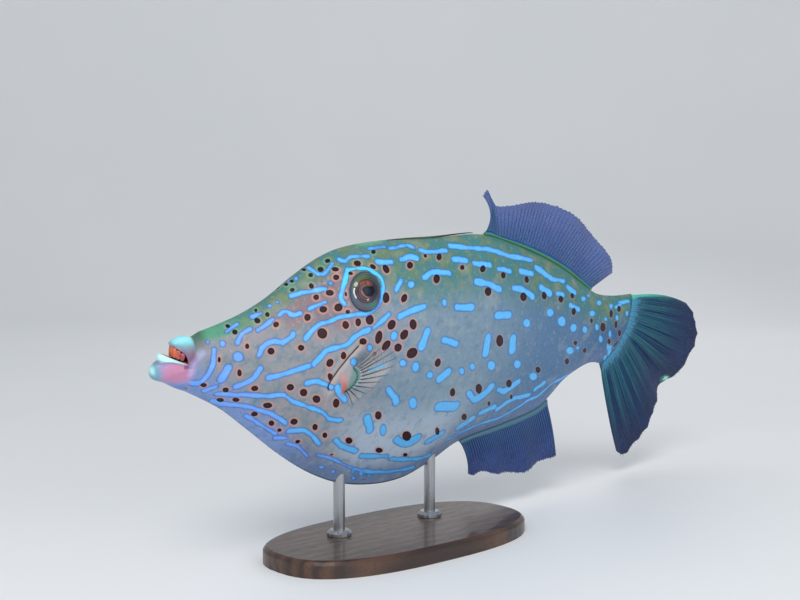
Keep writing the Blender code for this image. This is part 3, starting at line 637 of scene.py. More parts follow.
# Ring numbers grow from deep in the mouth outwards and tell the parts of the lips
ringIndex = np.append(np.repeat(np.arange(ringCount), around), (0, ringCount - 1)) / skinSet["lipSteps"]
column = np.arange(around)
aboveMouth = np.append(np.tile((column < around / 4) | (column > around * 3 / 4), ringCount), (1, 1))

# Tones of the skin, as screen numbers
skinTones = dict(
    head=(130, 140, 148), flank=(118, 143, 162), rear=(76, 114, 152), stalk=(40, 94, 138),
    warm=(160, 142, 148), brow=(126, 98, 102), belly=(172, 188, 206), low=(88, 114, 158),
    chin=(128, 158, 216), back=(56, 122, 118), backPatch=(94, 122, 88), snout=(72, 152, 118),
    fringe=(112, 184, 140), gill=(184, 170, 164), halo=(204, 142, 128), haloBack=(124, 160, 132),
    outline=(46, 92, 150), scrawl=(64, 144, 226), scrawlHead=(96, 140, 232), scrawlRear=(40, 150, 222),
    heart=(96, 186, 242), heartHead=(112, 170, 246), eyeRing=(70, 208, 250), spot=(4, 0, 4),
    spotHeart=(50, 6, 24), spotRear=(14, 6, 20), spotBack=(4, 3, 8), socket=(28, 58, 82),
    slit=(58, 40, 44), fold=(168, 172, 222), mouth=(170, 74, 70), throatAndShade=(96, 28, 36))


def makeSkinMaterial():
    m, t = Shade("skin_scrawled"), skinTones
    sta, hgt, blue, dark, back, belly = m.read("station", "height", "blueAway", "darkAway", "belowBack",
                                               "aboveBelly")
    slit, ring, above, eye, padShare, stripAway, fold = m.read(
        "slitSide", "lipRing", "aboveMouth", "eyeAway", "padShare", "stripAway", "foldAway")
    slit = (slit ** 2) ** 0.5
    patch, mottle, fine = m.noise(70, 4), m.noise(150, 4), m.noise(320, 5, rough=0.65)
    grain = m.noise(1200, 3, rough=0.6)
    patchy, mottled, fineness = patch - 0.5, mottle - 0.5, fine - 0.5
    spread = (m.noise(22, 4) - 0.5) * 3 + patchy * 1.6
    # Ground colour: blue-grey flank, warm patches on the head, slate-blue rear with painted shade, pale
    # belly, teal-green back
    m.color = t["head"]
    m.coat((sta + spread * 3).step(20, 34), t["flank"])
    # partly painted shade: the rear and the stalk turn darker and bluer towards the tail
    m.coat((sta + spread * 3).step(40, 60), t["rear"])
    m.coat((sta + spread).step(64, 75), t["stalk"])
    warm = (sta + spread * 2).step(40, 22) * mottle.step(0.45, 0.62)
    m.coat(warm * 0.5, t["warm"])
    brow = sta.step(8, 13) * sta.step(26, 22) * (hgt + spread).step(2, 5)
    m.coat(brow * (mottle + patchy).step(0.3, 0.5) * 0.75, t["brow"])
    paleBelly = (belly + spread * 0.8).step(13, 6.5) * sta.step(21, 31) * sta.step(48, 38)
    m.coat(paleBelly, t["belly"])
    low = (belly + spread * 0.6).step(4.4, 1)
    m.coat(low * 0.8, t["low"])
    chin = (belly + spread * 0.6).step(5, 1) * sta.step(24, 16)
    m.coat(chin * 0.6, t["chin"])
    reach = sta.step(4, 20, 0.9, 1.5) + sta.step(21, 33, 0, 5.2)
    reach = reach - sta.step(50, 72, 0, 2.8)
    top = ((back + spread * 0.4) / reach).step(1.35, 0.45)
    green = m.mix((mottle + patchy).step(0.42, 0.62), t["back"], t["backPatch"])
    green = m.mix(sta.step(14, 6), green, t["snout"])
    m.coat(top * 0.9, green)
    fringe = (back + mottled * 0.5).step(0.3, 0) * sta.step(25, 26.4) * sta.step(29.8, 28.4)
    m.coat(fringe * 0.5, t["fringe"])
    m.coat(patch.step(0.52, 0.72) * 0.3, (160, 170, 168))
    m.coat(mottle.step(0.5, 0.3) * 0.35, (84, 108, 124))
    m.coat(fine.step(0.55, 0.72) * 0.3, (186, 186, 184))
    m.coat(fine.step(0.43, 0.28) * 0.35, (70, 84, 96))
    m.coat(grain.step(0.64, 0.74) * 0.3, (206, 208, 204))
    m.coat((slit + fineness * 0.5).step(1.2, 0.3) * 0.6, t["gill"])
    # Spots and scrawls
    wobble = fineness * 0.16 + patchy * 0.3 + mottled * 0.35
    edge = blue + wobble + 0.05
    onBack = back.step(1.8, 0.8)
    halo = (dark + wobble).step(0.42, 0.05) * sta.step(46, 27, 0.35, 1)
    m.coat(halo * 0.65, m.mix(onBack, t["halo"], t["haloBack"]))
    outline = edge.step(0.17, 0.02)
    m.coat(outline * 0.7, t["outline"])
    lilac = m.mix(belly.step(5, 2) * sta.step(34, 24), sta.step(22, 8), 1.0)
    azure = m.mix(lilac, t["scrawl"], t["scrawlHead"])
    azure = m.mix(sta.step(50, 74), azure, t["scrawlRear"])
    heart = m.mix(lilac, t["heart"], t["heartHead"])
    azure = m.mix(edge.step(-0.02, -0.20) * 0.9, azure, heart)
    circled = eye.step(3.4, 3.1) * hgt.step(6.6, 8.6)
    azure = m.mix(circled * 0.8, azure, t["eyeRing"])
    azure = m.mix(fine.step(0.48, 0.75) * 0.35, azure, (150, 214, 250))
    azure = m.mix(grain.step(0.36, 0.26) * 0.35, azure, (40, 100, 200))
    m.coat(edge.step(0.035, -0.035), azure)
    maroon = m.mix(dark.step(-0.06, -0.24), t["spot"], t["spotHeart"])
    maroon = m.mix(sta.step(48, 62), maroon, t["spotRear"])
    maroon = m.mix(onBack, maroon, t["spotBack"])
    m.coat((dark + wobble * 0.5).step(0.07, 0), maroon)
    # Round the eye, at the gill slit, on the pad of the pectoral fin and behind the mouth
    m.coat(eye.step(2.29, 2.14), t["socket"])
    opening = slit.step(0.13, 0.06) * hgt.step(1.1, 0.9) * hgt.step(-4.3, -4.2)
    m.coat(opening, t["slit"])
    lobe = (padShare + fineness * 0.2).step(1, 0.8)
    stripes = (hgt * 26 + fineness * 3).wave().step(-0.3, 0.9)
    padTone = m.mix(stripes, (94, 132, 128), (128, 158, 150))
    padTone = m.mix(sta.step(24.4, 23.7), padTone, (160, 146, 150))
    m.coat(lobe * 0.85, padTone)
    strip = (stripAway + fineness * 0.5 + mottled * 0.4).step(0.45, 0.08)
    stripTone = m.mix(hgt.step(-2.6, -3.6), (190, 142, 136), (196, 104, 84))
    m.coat(strip * 0.85, stripTone)
    shade = (sta + patchy * 1.5).step(4.3, 4.8) * (sta + patchy * 2).step(6.6, 5.3)
    shade = shade * hgt.step(0.9, 1.9)
    m.coat(shade * 0.85, m.mix(hgt.step(1.6, 2.7), (112, 110, 112), (62, 98, 84)))
    # Lips: pale cyan above, greyish mauve flank; white roll and pink jaw below; some painted shade and
    # highlights
    lips = (ring + patchy * 0.8).step(hgt.step(0, 2, 12.2, 11.5), hgt.step(0, 2, 11.2, 10.5))
    upper = m.mix((hgt + patchy * 1.5).step(0.8, 2.4), (130, 100, 126), (112, 178, 190))
    upper = m.mix((hgt + patchy).step(1.7, 2.5), upper, (150, 226, 234))
    # pale pink inner rim of the upper lip, partly a painted highlight on its lower edge
    upper = m.mix(ring.step(5.4, 3.2) * hgt.step(1.9, 1.2), upper, (226, 186, 200))
    centre = (((sta - 2.9) / 2.6) ** 2 + ((hgt + 0.9) / 1.4) ** 2 + patchy).step(1.5, 0.1)
    lower = m.mix(centre, (138, 148, 204), (190, 130, 162))
    front = sta + (hgt + 0.9) * 0.1 + patchy * 0.8
    lower = m.mix(front.step(1.6, 0.7), lower, (112, 156, 176))
    # painted highlight: a white-cyan rim along the front slope of the jaw
    lower = m.mix(front.step(0.8, 0.35) * hgt.step(-1.6, -0.7), lower, (176, 230, 234))
    lower = m.mix(hgt.step(-1.9, -2.9), lower, (96, 130, 190))
    # painted shade: a grey-lilac band under the white roll
    under = ring + sta.step(1.1, 2.4) * 1.4
    lower = m.mix(under.step(7.6, 6.2) * 0.6, lower, (122, 122, 154))
    roll = m.mix(sta.step(1.4, 4.4), (190, 238, 236), (160, 208, 210))
    lower = m.mix((under + fineness * 0.5).step(6.3, 5.5), lower, roll)
    m.coat(lips, m.mix(above * hgt.step(-0.8, -0.5), lower, upper))
    m.coat((fold + wobble * 2).step(0.75, 0.05) * 0.6, t["fold"])
    m.coat(ring.step(2.9, 2.2), t["mouth"])
    # dark maroon deep in the mouth: the throat's colour, with painted shade
    m.coat(ring.step(1.9, 0.8), t["throatAndShade"])
    rough = m.mix(ring.step(13, 11), fine.step(0.3, 0.8, 0.56, 0.42), 0.30)
    height = fine * 0.5 + grain * 0.4 + patch * 0.4 + mottle * 0.5 - dark.step(0.05, -0.05) * 0.1
    return m.finish(Roughness=rough, Specular_IOR_Level=0.3, Coat_Weight=0.08, Coat_Roughness=0.25,
                    Normal=m.bump(height, 0.4, 0.0008))


skin = makeMesh("skin", skinPoints, skinFaces, makeSkinMaterial(),
                dict(zones, station=straight[:, 0], height=straight[:, 2],
                     blueAway=blueField, darkAway=darkField, lipRing=ringIndex, aboveMouth=aboveMouth))
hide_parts("head", "trunk", "tail_stalk", "upper_lip", "lower_jaw")
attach(skin, "root")
print("skin done")


# Eyes: flattened balls, square to the flank. The marks of the iris are laid out in the photo's pixels
# on the left eye and mirrored on the other one.
eyeMarks = dict(
    irisWide=11.3, irisHigh=12,
    pupil=[(362.1, 289.6), (363, 287.8), (364.6, 286.7), (368.1, 286.3), (373.2, 286.6), (374.6, 291.5),
           (371.8, 296), (368.2, 296.5), (364.8, 294), (362.8, 291.4)],
    paleLine=[(361.7, 290.2), (362.6, 292.8), (364.2, 295.2), (366.6, 297.2), (369, 298.3)],
    # below: a painted highlight, a thin white crescent on the dome's left edge
    paintedHighlight=[(354.6, 288.4), (353.9, 291), (354.4, 294), (356.2, 298)],
    glow=[(361.6, 283.6), (365.2, 281.9), (369.4, 283.6)])


def flankFrame(s, z, step=0.4):
    width = float(surfaceWidth(s, z))
    ahead = (float(surfaceWidth(s + step, z)) - width) / step
    above = (float(surfaceWidth(s, z + step)) - width) / step
    return Vector((s, -width, z)), Vector((-ahead, -1, -above)).normalized()


def polygonDistance(x, y, corners):      # negative inside
    closed = corners + corners[:1]
    inside = np.zeros(x.shape, bool)
    for (x0, y0), (x1, y1) in zip(corners, closed[1:]):
        crosses = (y0 > y) != (y1 > y)
        inside ^= crosses & (x < (y - y0) / ((y1 - y0) or 1e-9) * (x1 - x0) + x0)
    away = lineDistance(x, y, closed)
    return np.where(inside, -away, away)


def makeEyeMaterial():
    m = Shade("eye_wet")
    x, y = m.read("eyeRight", "eyeUp")      # from the iris's centre, in pixels
    pupil, pale, rim, glowAway, paintedHighlight = m.read("pupilAway", "paleAway", "rimShare", "glowAway",
                                                  "paintedHighlightAway")
    fine, soft = m.noise(420, 4), m.noise(150, 3)
    fineness, softness = fine - 0.5, soft - 0.5
    out = ((x / eyeMarks["irisWide"]) ** 2 + (y / eyeMarks["irisHigh"]) ** 2) ** 0.5
    # Iris: mauve-brown with dark arcs, orange above the pupil, dark slate on its tail side
    arcs = ((out + fineness * 0.10) * 30).wave()
    iris = m.mix(arcs.step(-0.4, 0.9), (54, 30, 40), (94, 64, 68))
    iris = m.mix((y + soft * 4).step(4.5, 10), iris, (72, 60, 54))
    iris = m.mix((x + softness * 4).step(1.5, 6.5), iris, (32, 28, 48))
    glow = (glowAway + fineness * 3.0).step(3, 0.6)
    iris = m.mix(glow * 0.9, iris, m.mix(fine.step(0.42, 0.6), (104, 52, 40), (160, 84, 58)))
    iris = m.mix(pale.step(0.65, 0.15) * 0.6, iris, (160, 124, 122))
    iris = m.mix(out.step(0.86, 0.99) * 0.8, iris, (36, 38, 40))
    black = m.mix(pupil.step(-1.1, -2.6), (3, 2, 8), (12, 18, 48))
    iris = m.mix(pupil.step(0.3, -0.3), iris, black)
    # The clear dome round it: olive above, grey-green, blue-grey and mauve below, green to the tail side
    low = m.mix(x.step(-6, 3), (68, 86, 104), (54, 102, 94))
    low = m.mix((y + x * 0.35).step(-13, -18.5), low, (86, 74, 94))
    high = m.mix((x + softness * 5).step(-4, 5), (74, 88, 60), (42, 56, 54))
    high = m.mix(y.step(9, 2) * x.step(0, -10), high, (76, 92, 84))
    dome = m.mix((y + softness * 5).step(-3, 3), low, high)
    dome = m.mix((x + softness * 3).step(7, 11.5), dome, (26, 44, 72))
    stripe = (out * 26 + fineness * 2.5).wave().step(0, 1)
    dome = m.mix(stripe * 0.13, dome, (134, 148, 150))
    # painted highlight: a thin white crescent on the wet dome's left edge
    dome = m.mix((paintedHighlight + fineness).step(1, 0.3), dome, (226, 226, 222))
    dome = m.mix(rim.step(0.84, 0.92) * 0.8, dome, (24, 58, 84))
    m.color = m.mix(out.step(0.98, 1.08), iris, dome)
    return m.finish(Roughness=out.step(0.98, 1.1, 0.3, 0.5), Specular_IOR_Level=0.2,
                    Coat_Weight=pupil.step(-0.5, 1.5, 0.2, 1), Coat_Roughness=0.03, Coat_IOR=1.4,
                    Normal=m.bump(fine, 0.1, 0.0004))


def shapeEye(columns=110, rings=80):
    point, outward = flankFrame(eyeSet["station"], eyeSet["height"])
    centre = point - outward * (eyeSet["depth"] - eyeSet["bulge"])
    turn = turnAt(eyeSet["station"])
    squash = Matrix.Scale(eyeSet["radius"], 3) @ Matrix.Scale(eyeSet["depth"] / eyeSet["radius"], 3, outward)
    start, heading = pixelRay(*eyeSet["seenAt"])
    start = turn.transposed() @ (start - Vector(place(*centre))) / pose["percent"]
    heading = turn.transposed() @ heading
    a, b = squash.inverted() @ start, squash.inverted() @ heading
    inside = a.dot(b) ** 2 - b.length_squared * (a.length_squared - 1)
    reach = (-a.dot(b) - math.sqrt(inside)) / b.length_squared
    gaze = a + b * reach
    side = gaze.orthogonal().normalized()
    axes = np.array([side, gaze.cross(side), gaze])
    theta = np.append(np.repeat(np.linspace(0, math.pi, rings + 1)[1:-1], columns), (0, math.pi))
    phi = np.append(np.tile(np.linspace(0, 2 * math.pi, columns, endpoint=False), rings - 1), (0, 0))
    sphere = np.stack([np.sin(theta) * np.cos(phi), np.sin(theta) * np.sin(phi), np.cos(theta)], -1) @ axes
    local = sphere @ np.array(squash).T
    local[:, 0] -= eyeSet["trim"] * ease(local[:, 0], 0.9, 2.3)
    right, up = cameraAxes()[1:3]
    scale = pixelsPerUnit() / reach
    x = (local - np.array(squash @ gaze)) @ np.array(turn.transposed() @ right) * scale
    y = (local - np.array(squash @ gaze)) @ np.array(turn.transposed() @ up) * scale
    seen = eyeSet["seenAt"][0] + x, eyeSet["seenAt"][1] - y
    across = local - np.outer(local @ np.array(outward), outward)
    fields = dict(eyeRight=x, eyeUp=y, pupilAway=polygonDistance(*seen, eyeMarks["pupil"]),
                  paleAway=lineDistance(*seen, eyeMarks["paleLine"]),
                  glowAway=lineDistance(*seen, eyeMarks["glow"]),
                  paintedHighlightAway=lineDistance(*seen, eyeMarks["paintedHighlight"]),
                  rimShare=np.linalg.norm(across, axis=1) / eyeSet["radius"])
    return local + np.array(centre), closedFaces(rings - 1, columns, len(local)), fields


eyePoints, eyeFaces, eyeFields = shapeEye()
eyeMaterial = makeEyeMaterial()
for side, name in ((1, "eye_left"), (-1, "eye_right")):
    points = place(*(eyePoints * np.array([1, side, 1])).T)
    ball = makeMesh(name + "_ball", points, eyeFaces, eyeMaterial, eyeFields)
    faceOut(ball)
    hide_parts(name)
    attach(ball, "root")
print("eyes done")

# Teeth: a short row of chisels behind the raised upper lip
teethSet = dict(count=7, spread=80.0, side=0.78, front=2.62, depth=1.05, rootHeight=1.66, rootFall=0.62,
                tipHeight=0.55, tipFall=0.32, half=0.275, thick=0.17, rows=9, sides=12)


def makeTeethMaterial():
    m = Shade("teeth_stained")
    sta, fine = m.read("station")[0], m.noise(500, 4)
    m.color = m.mix((sta + (fine - 0.5) * 0.8).step(2.6, 3.1), (206, 100, 64), (152, 54, 68))
    # pale pink flecks: painted highlights on the teeth
    m.coat(fine.step(0.5, 0.66) * 0.5, (214, 140, 122))
    return m.finish(Roughness=fine.step(0.3, 0.7, 0.3, 0.45), Coat_Weight=0.3,
                    Normal=m.bump(fine, 0.3, 0.0004))


def makeTeeth():
    points, faces = [], []
    t = teethSet
    rows, sides = t["rows"], t["sides"]
    for k in range(t["count"]):
        share = 2 * k / (t["count"] - 1) - 1
        angle = math.radians(t["spread"] * share)
        outward = np.array([-math.cos(angle), math.sin(angle), 0])
        along = np.array([math.sin(angle), math.cos(angle), 0])
        foot = np.array([t["front"] + t["depth"] * (1 - math.cos(angle)), t["side"] * math.sin(angle), 0])
        root = t["rootHeight"] - t["rootFall"] * abs(share) ** 1.5
        tip = t["tipHeight"] - t["tipFall"] * abs(share) ** 1.5
        start = len(points)
        for v in np.linspace(0, 1, rows):
            wide = t["half"] * (0.86 + 0.2 * math.sin(math.pi * v)) * (1 - 0.25 * v ** 6)
            thick = t["thick"] * (1 - 0.8 * v ** 1.5) + 0.015
            centre = foot + np.array([0, 0, root + (tip - root) * v]) + outward * 0.1 * math.sin(1.6 * v)
            for a in np.arange(sides) * 2 * math.pi / sides:
                points.append(centre + along * wide * math.copysign(abs(math.cos(a)) ** 0.6, math.cos(a))
                              + outward * thick * math.sin(a))
        faces += [tuple(start + c for c in f) for f in gridFaces(rows, sides)]
        faces += [tuple(range(start, start + sides)), tuple(range(len(points) - sides, len(points)))]
    points = np.array(points)
    teeth = makeMesh("teeth_row", place(*points.T), faces, makeTeethMaterial(), dict(station=points[:, 0]))
    faceOut(teeth)
    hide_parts("upper_teeth")
    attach(teeth, "root")


makeTeeth()
print("teeth done")


# Rays: thin tubes that follow given paths, grown by Geometry Nodes
def rayTree():
    tree = bpy.data.node_groups.new("finRayTubes", "GeometryNodeTree")
    sockets = dict(Geometry="Geometry", Thickness="Float", Sides="Int", Finish="Material")
    for name, kind in sockets.items():
        tree.interface.new_socket(name, in_out="INPUT", socket_type="NodeSocket" + kind)
    tree.interface.new_socket("Geometry", in_out="OUTPUT", socket_type="NodeSocketGeometry")

    def add(kind, settings=None, inputs=None):
        return addNode(tree, kind, settings, inputs)

    given = add("NodeGroupInput")
    curves = add("GeometryNodeMeshToCurve", None, {"Mesh": given["Geometry"]})
    radius = add("GeometryNodeInputNamedAttribute", {"data_type": "FLOAT"}, {"Name": "rayRadius"})
    scaled = add("ShaderNodeMath", {"operation": "MULTIPLY"}, {0: radius["Attribute"], 1: given["Thickness"]})
    circle = add("GeometryNodeCurvePrimitiveCircle", None, {"Resolution": given["Sides"], "Radius": 1.0})
    tubes = add("GeometryNodeCurveToMesh", None,
                {"Curve": curves["Curve"], "Profile Curve": circle["Curve"], "Scale": scaled[0],
                 "Fill Caps": True})
    real = add("GeometryNodeRealizeInstances", None, {"Geometry": tubes["Mesh"]})
    done = add("GeometryNodeSetMaterial", None, {"Geometry": real["Geometry"], "Material": given["Finish"]})
    add("NodeGroupOutput", None, {"Geometry": done["Geometry"]})
    return tree


finRayTree = rayTree()


def growRays(name, paths, material, sides=6):
    # each path is (points, radii, along, share), with radii in percent
    points, edges, fields = [], [], dict(rayRadius=[], along=[], share=[])
    for line, *values in paths:
        edges += [(len(points) + k, len(points) + k + 1) for k in range(len(line) - 1)]
        points += list(line)
        for key, value in zip(fields, values):
            fields[key] += list(value)
    ob = makeMesh(name, points, [], None, fields, edges)
    grow = ob.modifiers.new("rays", "NODES")
    grow.node_group = finRayTree
    wanted = {"Thickness": pose["percent"], "Sides": sides, "Finish": material}
    for item in finRayTree.interface.items_tree:
        if item.in_out == "INPUT" and item.name in wanted:
            grow[item.identifier] = wanted[item.name]
    bpy.context.view_layer.update()
    ready = ob.evaluated_get(bpy.context.evaluated_depsgraph_get())
    ob.data = bpy.data.meshes.new_from_object(ready)
    ob.modifiers.remove(grow)
    ob.data.shade_smooth()
    faceOut(ob)
    return ob


# Fins. Edge points are (share along the fin, station, height); curl bows the first rays tailwards.
# Tones are the web's two, the rays seen through it, and the thick foot's.
fins = dict(
    soft_dorsal_fin=dict(
        rays=45, rows=26, rootHalf=0.26, half=0.035, ray=0.075, sheath=0.10, fork=0.62, levels=1,
        ragged=0.018, sway=(3, 0.35, 0), curl=1.25, curlShare=0.075, seed=3, root=(45.9, 67.3),
        edge=[(0, 44.5, 17.3), (0.05, 45.5, 17.9), (0.09, 46.6, 16.8), (0.13, 47.6, 15.9),
              (0.3, 52.6, 16.5), (0.5, 58.4, 15.8), (0.7, 63.9, 13.3), (0.88, 68.6, 10.6), (1, 70.9, 8.3)],
        tones=dict(web=(0, 58, 150), web2=(12, 72, 156), ray=(34, 80, 124), root=(74, 132, 92),
                   alpha=0.66, sheath=0.08, streak=0.25, shine=0.1),
        rayTones=((60, 100, 84), (76, 102, 136))),
    anal_fin=dict(
        rays=47, rows=26, rootHalf=0.28, half=0.035, ray=0.08, sheath=0.14, fork=0.6, levels=1,
        ragged=0.022, sway=(2.6, 0.4, 0.9), curl=0.5, curlShare=0.05, seed=5, root=(47.2, 64.9),
        edge=[(0, 50.4, -19.9), (0.06, 51.8, -20.4), (0.12, 53.1, -19.9), (0.3, 57.2, -20.6),
              (0.55, 63.4, -21), (0.8, 69.4, -19.9), (1, 73.4, -18.6)],
        tones=dict(web=(4, 36, 112), web2=(16, 54, 128), ray=(62, 96, 128), root=(84, 122, 138),
                   alpha=0.9, sheath=0.12, streak=0.5, shine=0.1),
        rayTones=((80, 114, 124), (66, 98, 134))),
    caudal_fin=dict(
        rays=12, rows=40, rootHalf=0.42, half=0.05, ray=0.15, sheath=0.12, fork=0.28, levels=2,
        ragged=0.02, curl=0, curlShare=1, seed=8, root=(6, -4.1),
        edge=[(0, 93.6, 8.8), (0.08, 97.4, 8.2), (0.2, 100.3, 6.6), (0.3, 101.6, 4.6), (0.38, 102.3, 2.2),
              (0.44, 102.6, -0.6), (0.475, 102.3, -2.1), (0.49, 101.2, -2.7), (0.51, 99.7, -3.9),
              (0.56, 99.3, -5.8), (0.66, 98.4, -8.2), (0.75, 98.4, -10.7), (0.85, 97.6, -13.4),
              (0.95, 95.2, -16.2), (1, 91.9, -15.8)],
        # the web's dark navy is partly the fin's own colour, partly painted shade
        tones=dict(web=(2, 26, 74), web2=(8, 42, 92), ray=(44, 96, 112), root=(76, 122, 144),
                   band=(46, 116, 122), edge=(84, 190, 172), alpha=1, sheath=0.05, streak=0.75,
                   shine=0.05),
        rayTones=((34, 92, 110), (18, 52, 92))))
tailFold = dict(share=0.51, wide=0.05, depth=0.9, fall=0.8, wave=0.3, upperBow=0.65, lowerBow=3)
pectoral = dict(
    rays=11, rows=24, rootHalf=0.2, half=0.03, ray=0.065, sheath=0.1, fork=0.78, levels=1, ragged=0.05,
    spread=2.4, rise=0.36, seed=11,
    root=[(0, 24.3, -1.5), (0.3, 24.9, -2.2), (0.5, 25.1, -3), (0.75, 24.6, -3.9), (1, 23.9, -4.5)],
    edge=[(0, 25.1, 1.5), (0.2, 27.7, 1.3), (0.35, 28.6, -0.1), (0.5, 27.9, -1.9), (0.7, 26, -3.6),
          (0.85, 24.3, -4.6), (1, 23.3, -5.7)],
    # the pale web is partly painted highlight between the rays; the darker tone along the rays and their navy
    # root are partly painted shade
    tones=dict(web=(172, 172, 174), web2=(194, 186, 178), ray=(84, 104, 124), root=(112, 148, 142),
               gleam=(110, 194, 240), alpha=0.38, sheath=0.09, streak=0.7, shine=0.1),
    rayTones=((34, 66, 96), (92, 98, 110)))


def readEdge(points, u):
    return curve([(p[0], p[1]) for p in points], u), curve([(p[0], p[2]) for p in points], u)


def finSpot(name, u, v):
    fin = fins[name]
    first, last = fin["root"]
    inner = np.maximum(v, 0)
    bow = fin["curl"] * hill(u, fin["curlShare"]) * 4 * inner * (1 - v)
    rise = 0 * v
    if name == "caudal_fin":
        rootZ = first + (last - first) * u
        rootS = tailEnd["station"] - tailEnd["round"] * (rootZ - tailEnd["middle"]) ** 2
        f = tailFold
        bend = f["depth"] * hill(u - f["share"], f["wide"]) - f["fall"] * ease(u, 0.45, 1.0)
        y = (bend + f["wave"] * np.sin(5 * math.pi * u)) * inner ** 1.5
        bow = bow - f["lowerBow"] * hill(u - 1, 0.18) * inner ** 0.5 * (1 - v)
        rise = f["upperBow"] * hill(u, 0.16) * 4 * inner * (1 - v)
    else:
        rootS = first + (last - first) * u
        rootZ = curve(backLine if name == "soft_dorsal_fin" else bellyLine, rootS)
        waves, depth, phase = fin["sway"]
        y = depth * inner * np.sin(2 * math.pi * waves * u + phase)
    edgeS, edgeZ = readEdge(fin["edge"], u)
    return rootS + (edgeS - rootS) * v + bow, y, rootZ + (edgeZ - rootZ) * v + rise


def pectoralSpot(side, u, v):
    rootS, rootZ = readEdge(pectoral["root"], u)
    edgeS, edgeZ = readEdge(pectoral["edge"], u)
    s, z = rootS + (edgeS - rootS) * v, rootZ + (edgeZ - rootZ) * v
    rootY = surfaceWidth(rootS, rootZ) + pectoral["rise"]
    edgeY = surfaceWidth(edgeS, edgeZ) + pectoral["spread"]
    y = rootY + (edgeY - rootY) * np.sign(v) * np.abs(v) ** 0.8 + 0.12 * np.sin(9 * u) * np.maximum(v, 0)
    return s, side * y, z


def makeMembrane(name, fin, spot, material):
    perRay = 6 if fin["rays"] > 20 else 12
    u = np.linspace(0, 1, fin["rays"] * perRay + 1)
    v = np.linspace(0, 1, fin["rows"] + 1) ** 0.9
    rng = np.random.default_rng(fin["seed"])
    tips = np.interp(u * fin["rays"], np.arange(fin["rays"] + 1), rng.uniform(-1, 0.2, fin["rays"] + 1))
    reach = 1 + fin["ragged"] * (tips - np.abs(np.sin(math.pi * fin["rays"] * u)))
    uu, vv = np.meshgrid(u, v, indexing="ij")
    s, y, z = spot(uu, vv * reach[:, None])
    half = fin["half"] * (1 - 0.6 * vv) + (fin["rootHalf"] - fin["half"]) * (1 - ease(vv, 0, fin["sheath"]))
    columns, rows = uu.shape
    points = np.vstack([place(s, y + side * half, z).reshape(-1, 3) for side in (-1, 1)])
    count = columns * rows
    faces = []
    for i in range(columns - 1):
        for a in range(i * rows, i * rows + rows - 1):
            b = a + rows
            faces += [(a, b, b + 1, a + 1), (count + a, count + a + 1, count + b + 1, count + b)]
    border = [i * rows for i in range(columns)] + [(columns - 1) * rows + j for j in range(1, rows)]
    border += [i * rows + rows - 1 for i in range(columns - 2, -1, -1)] + list(range(rows - 2, 0, -1))
    faces += [(b, a, count + a, count + b) for a, b in zip(border, border[1:] + border[:1])]
    fields = dict(along=np.tile(vv.ravel(), 2), share=np.tile(uu.ravel(), 2))
    sheet = makeMesh(name, points, faces, material, fields)
    faceOut(sheet)
    return sheet


# A ray forks once or, at two levels, twice; sizes are shares of the fin's ray
def rayPaths(fin, spot):
    rng = np.random.default_rng(fin["seed"] + 40)
    paths = []
    step = 1.0 / fin["rays"]

    def lay(u, offset, v0, v1, size0, size1, steps):
        v = np.linspace(v0, v1, steps)
        uu = np.clip(u + offset(v), 0.0015, 0.9985)
        radii = fin["ray"] * np.linspace(size0, size1, steps)
        paths.append((place(*spot(uu, v)), radii, np.clip(v, 0, 1), uu))

    for k in range(fin["rays"]):
        u = (k + 0.5) * step
        fork = fin["fork"] + rng.uniform(-0.04, 0.04)
        end = 1.0 - rng.uniform(0.2, 1.0) * fin["ragged"]
        lay(u, lambda v: 0 * v, -0.012, fork, 1.0, 0.62, 12)
        for turn in (-1, 1):
            if fin["levels"] == 1:
                aside = turn * 0.2 * step
                lay(u, lambda v: aside * ease(v, fork, fork + 0.3), fork - 0.02, end, 0.5, 0.22, 9)
                continue
            aside, second = turn * 0.24 * step, fork + 0.3
            lay(u, lambda v: aside * ease(v, fork, fork + 0.25), fork - 0.02, second, 0.55, 0.4, 9)
            for turn2 in (-1, 1):
                lay(u, lambda v: aside + turn2 * 0.12 * step * ease(v, second, second + 0.22),
                    second - 0.02, end, 0.36, 0.16, 11)
    return paths


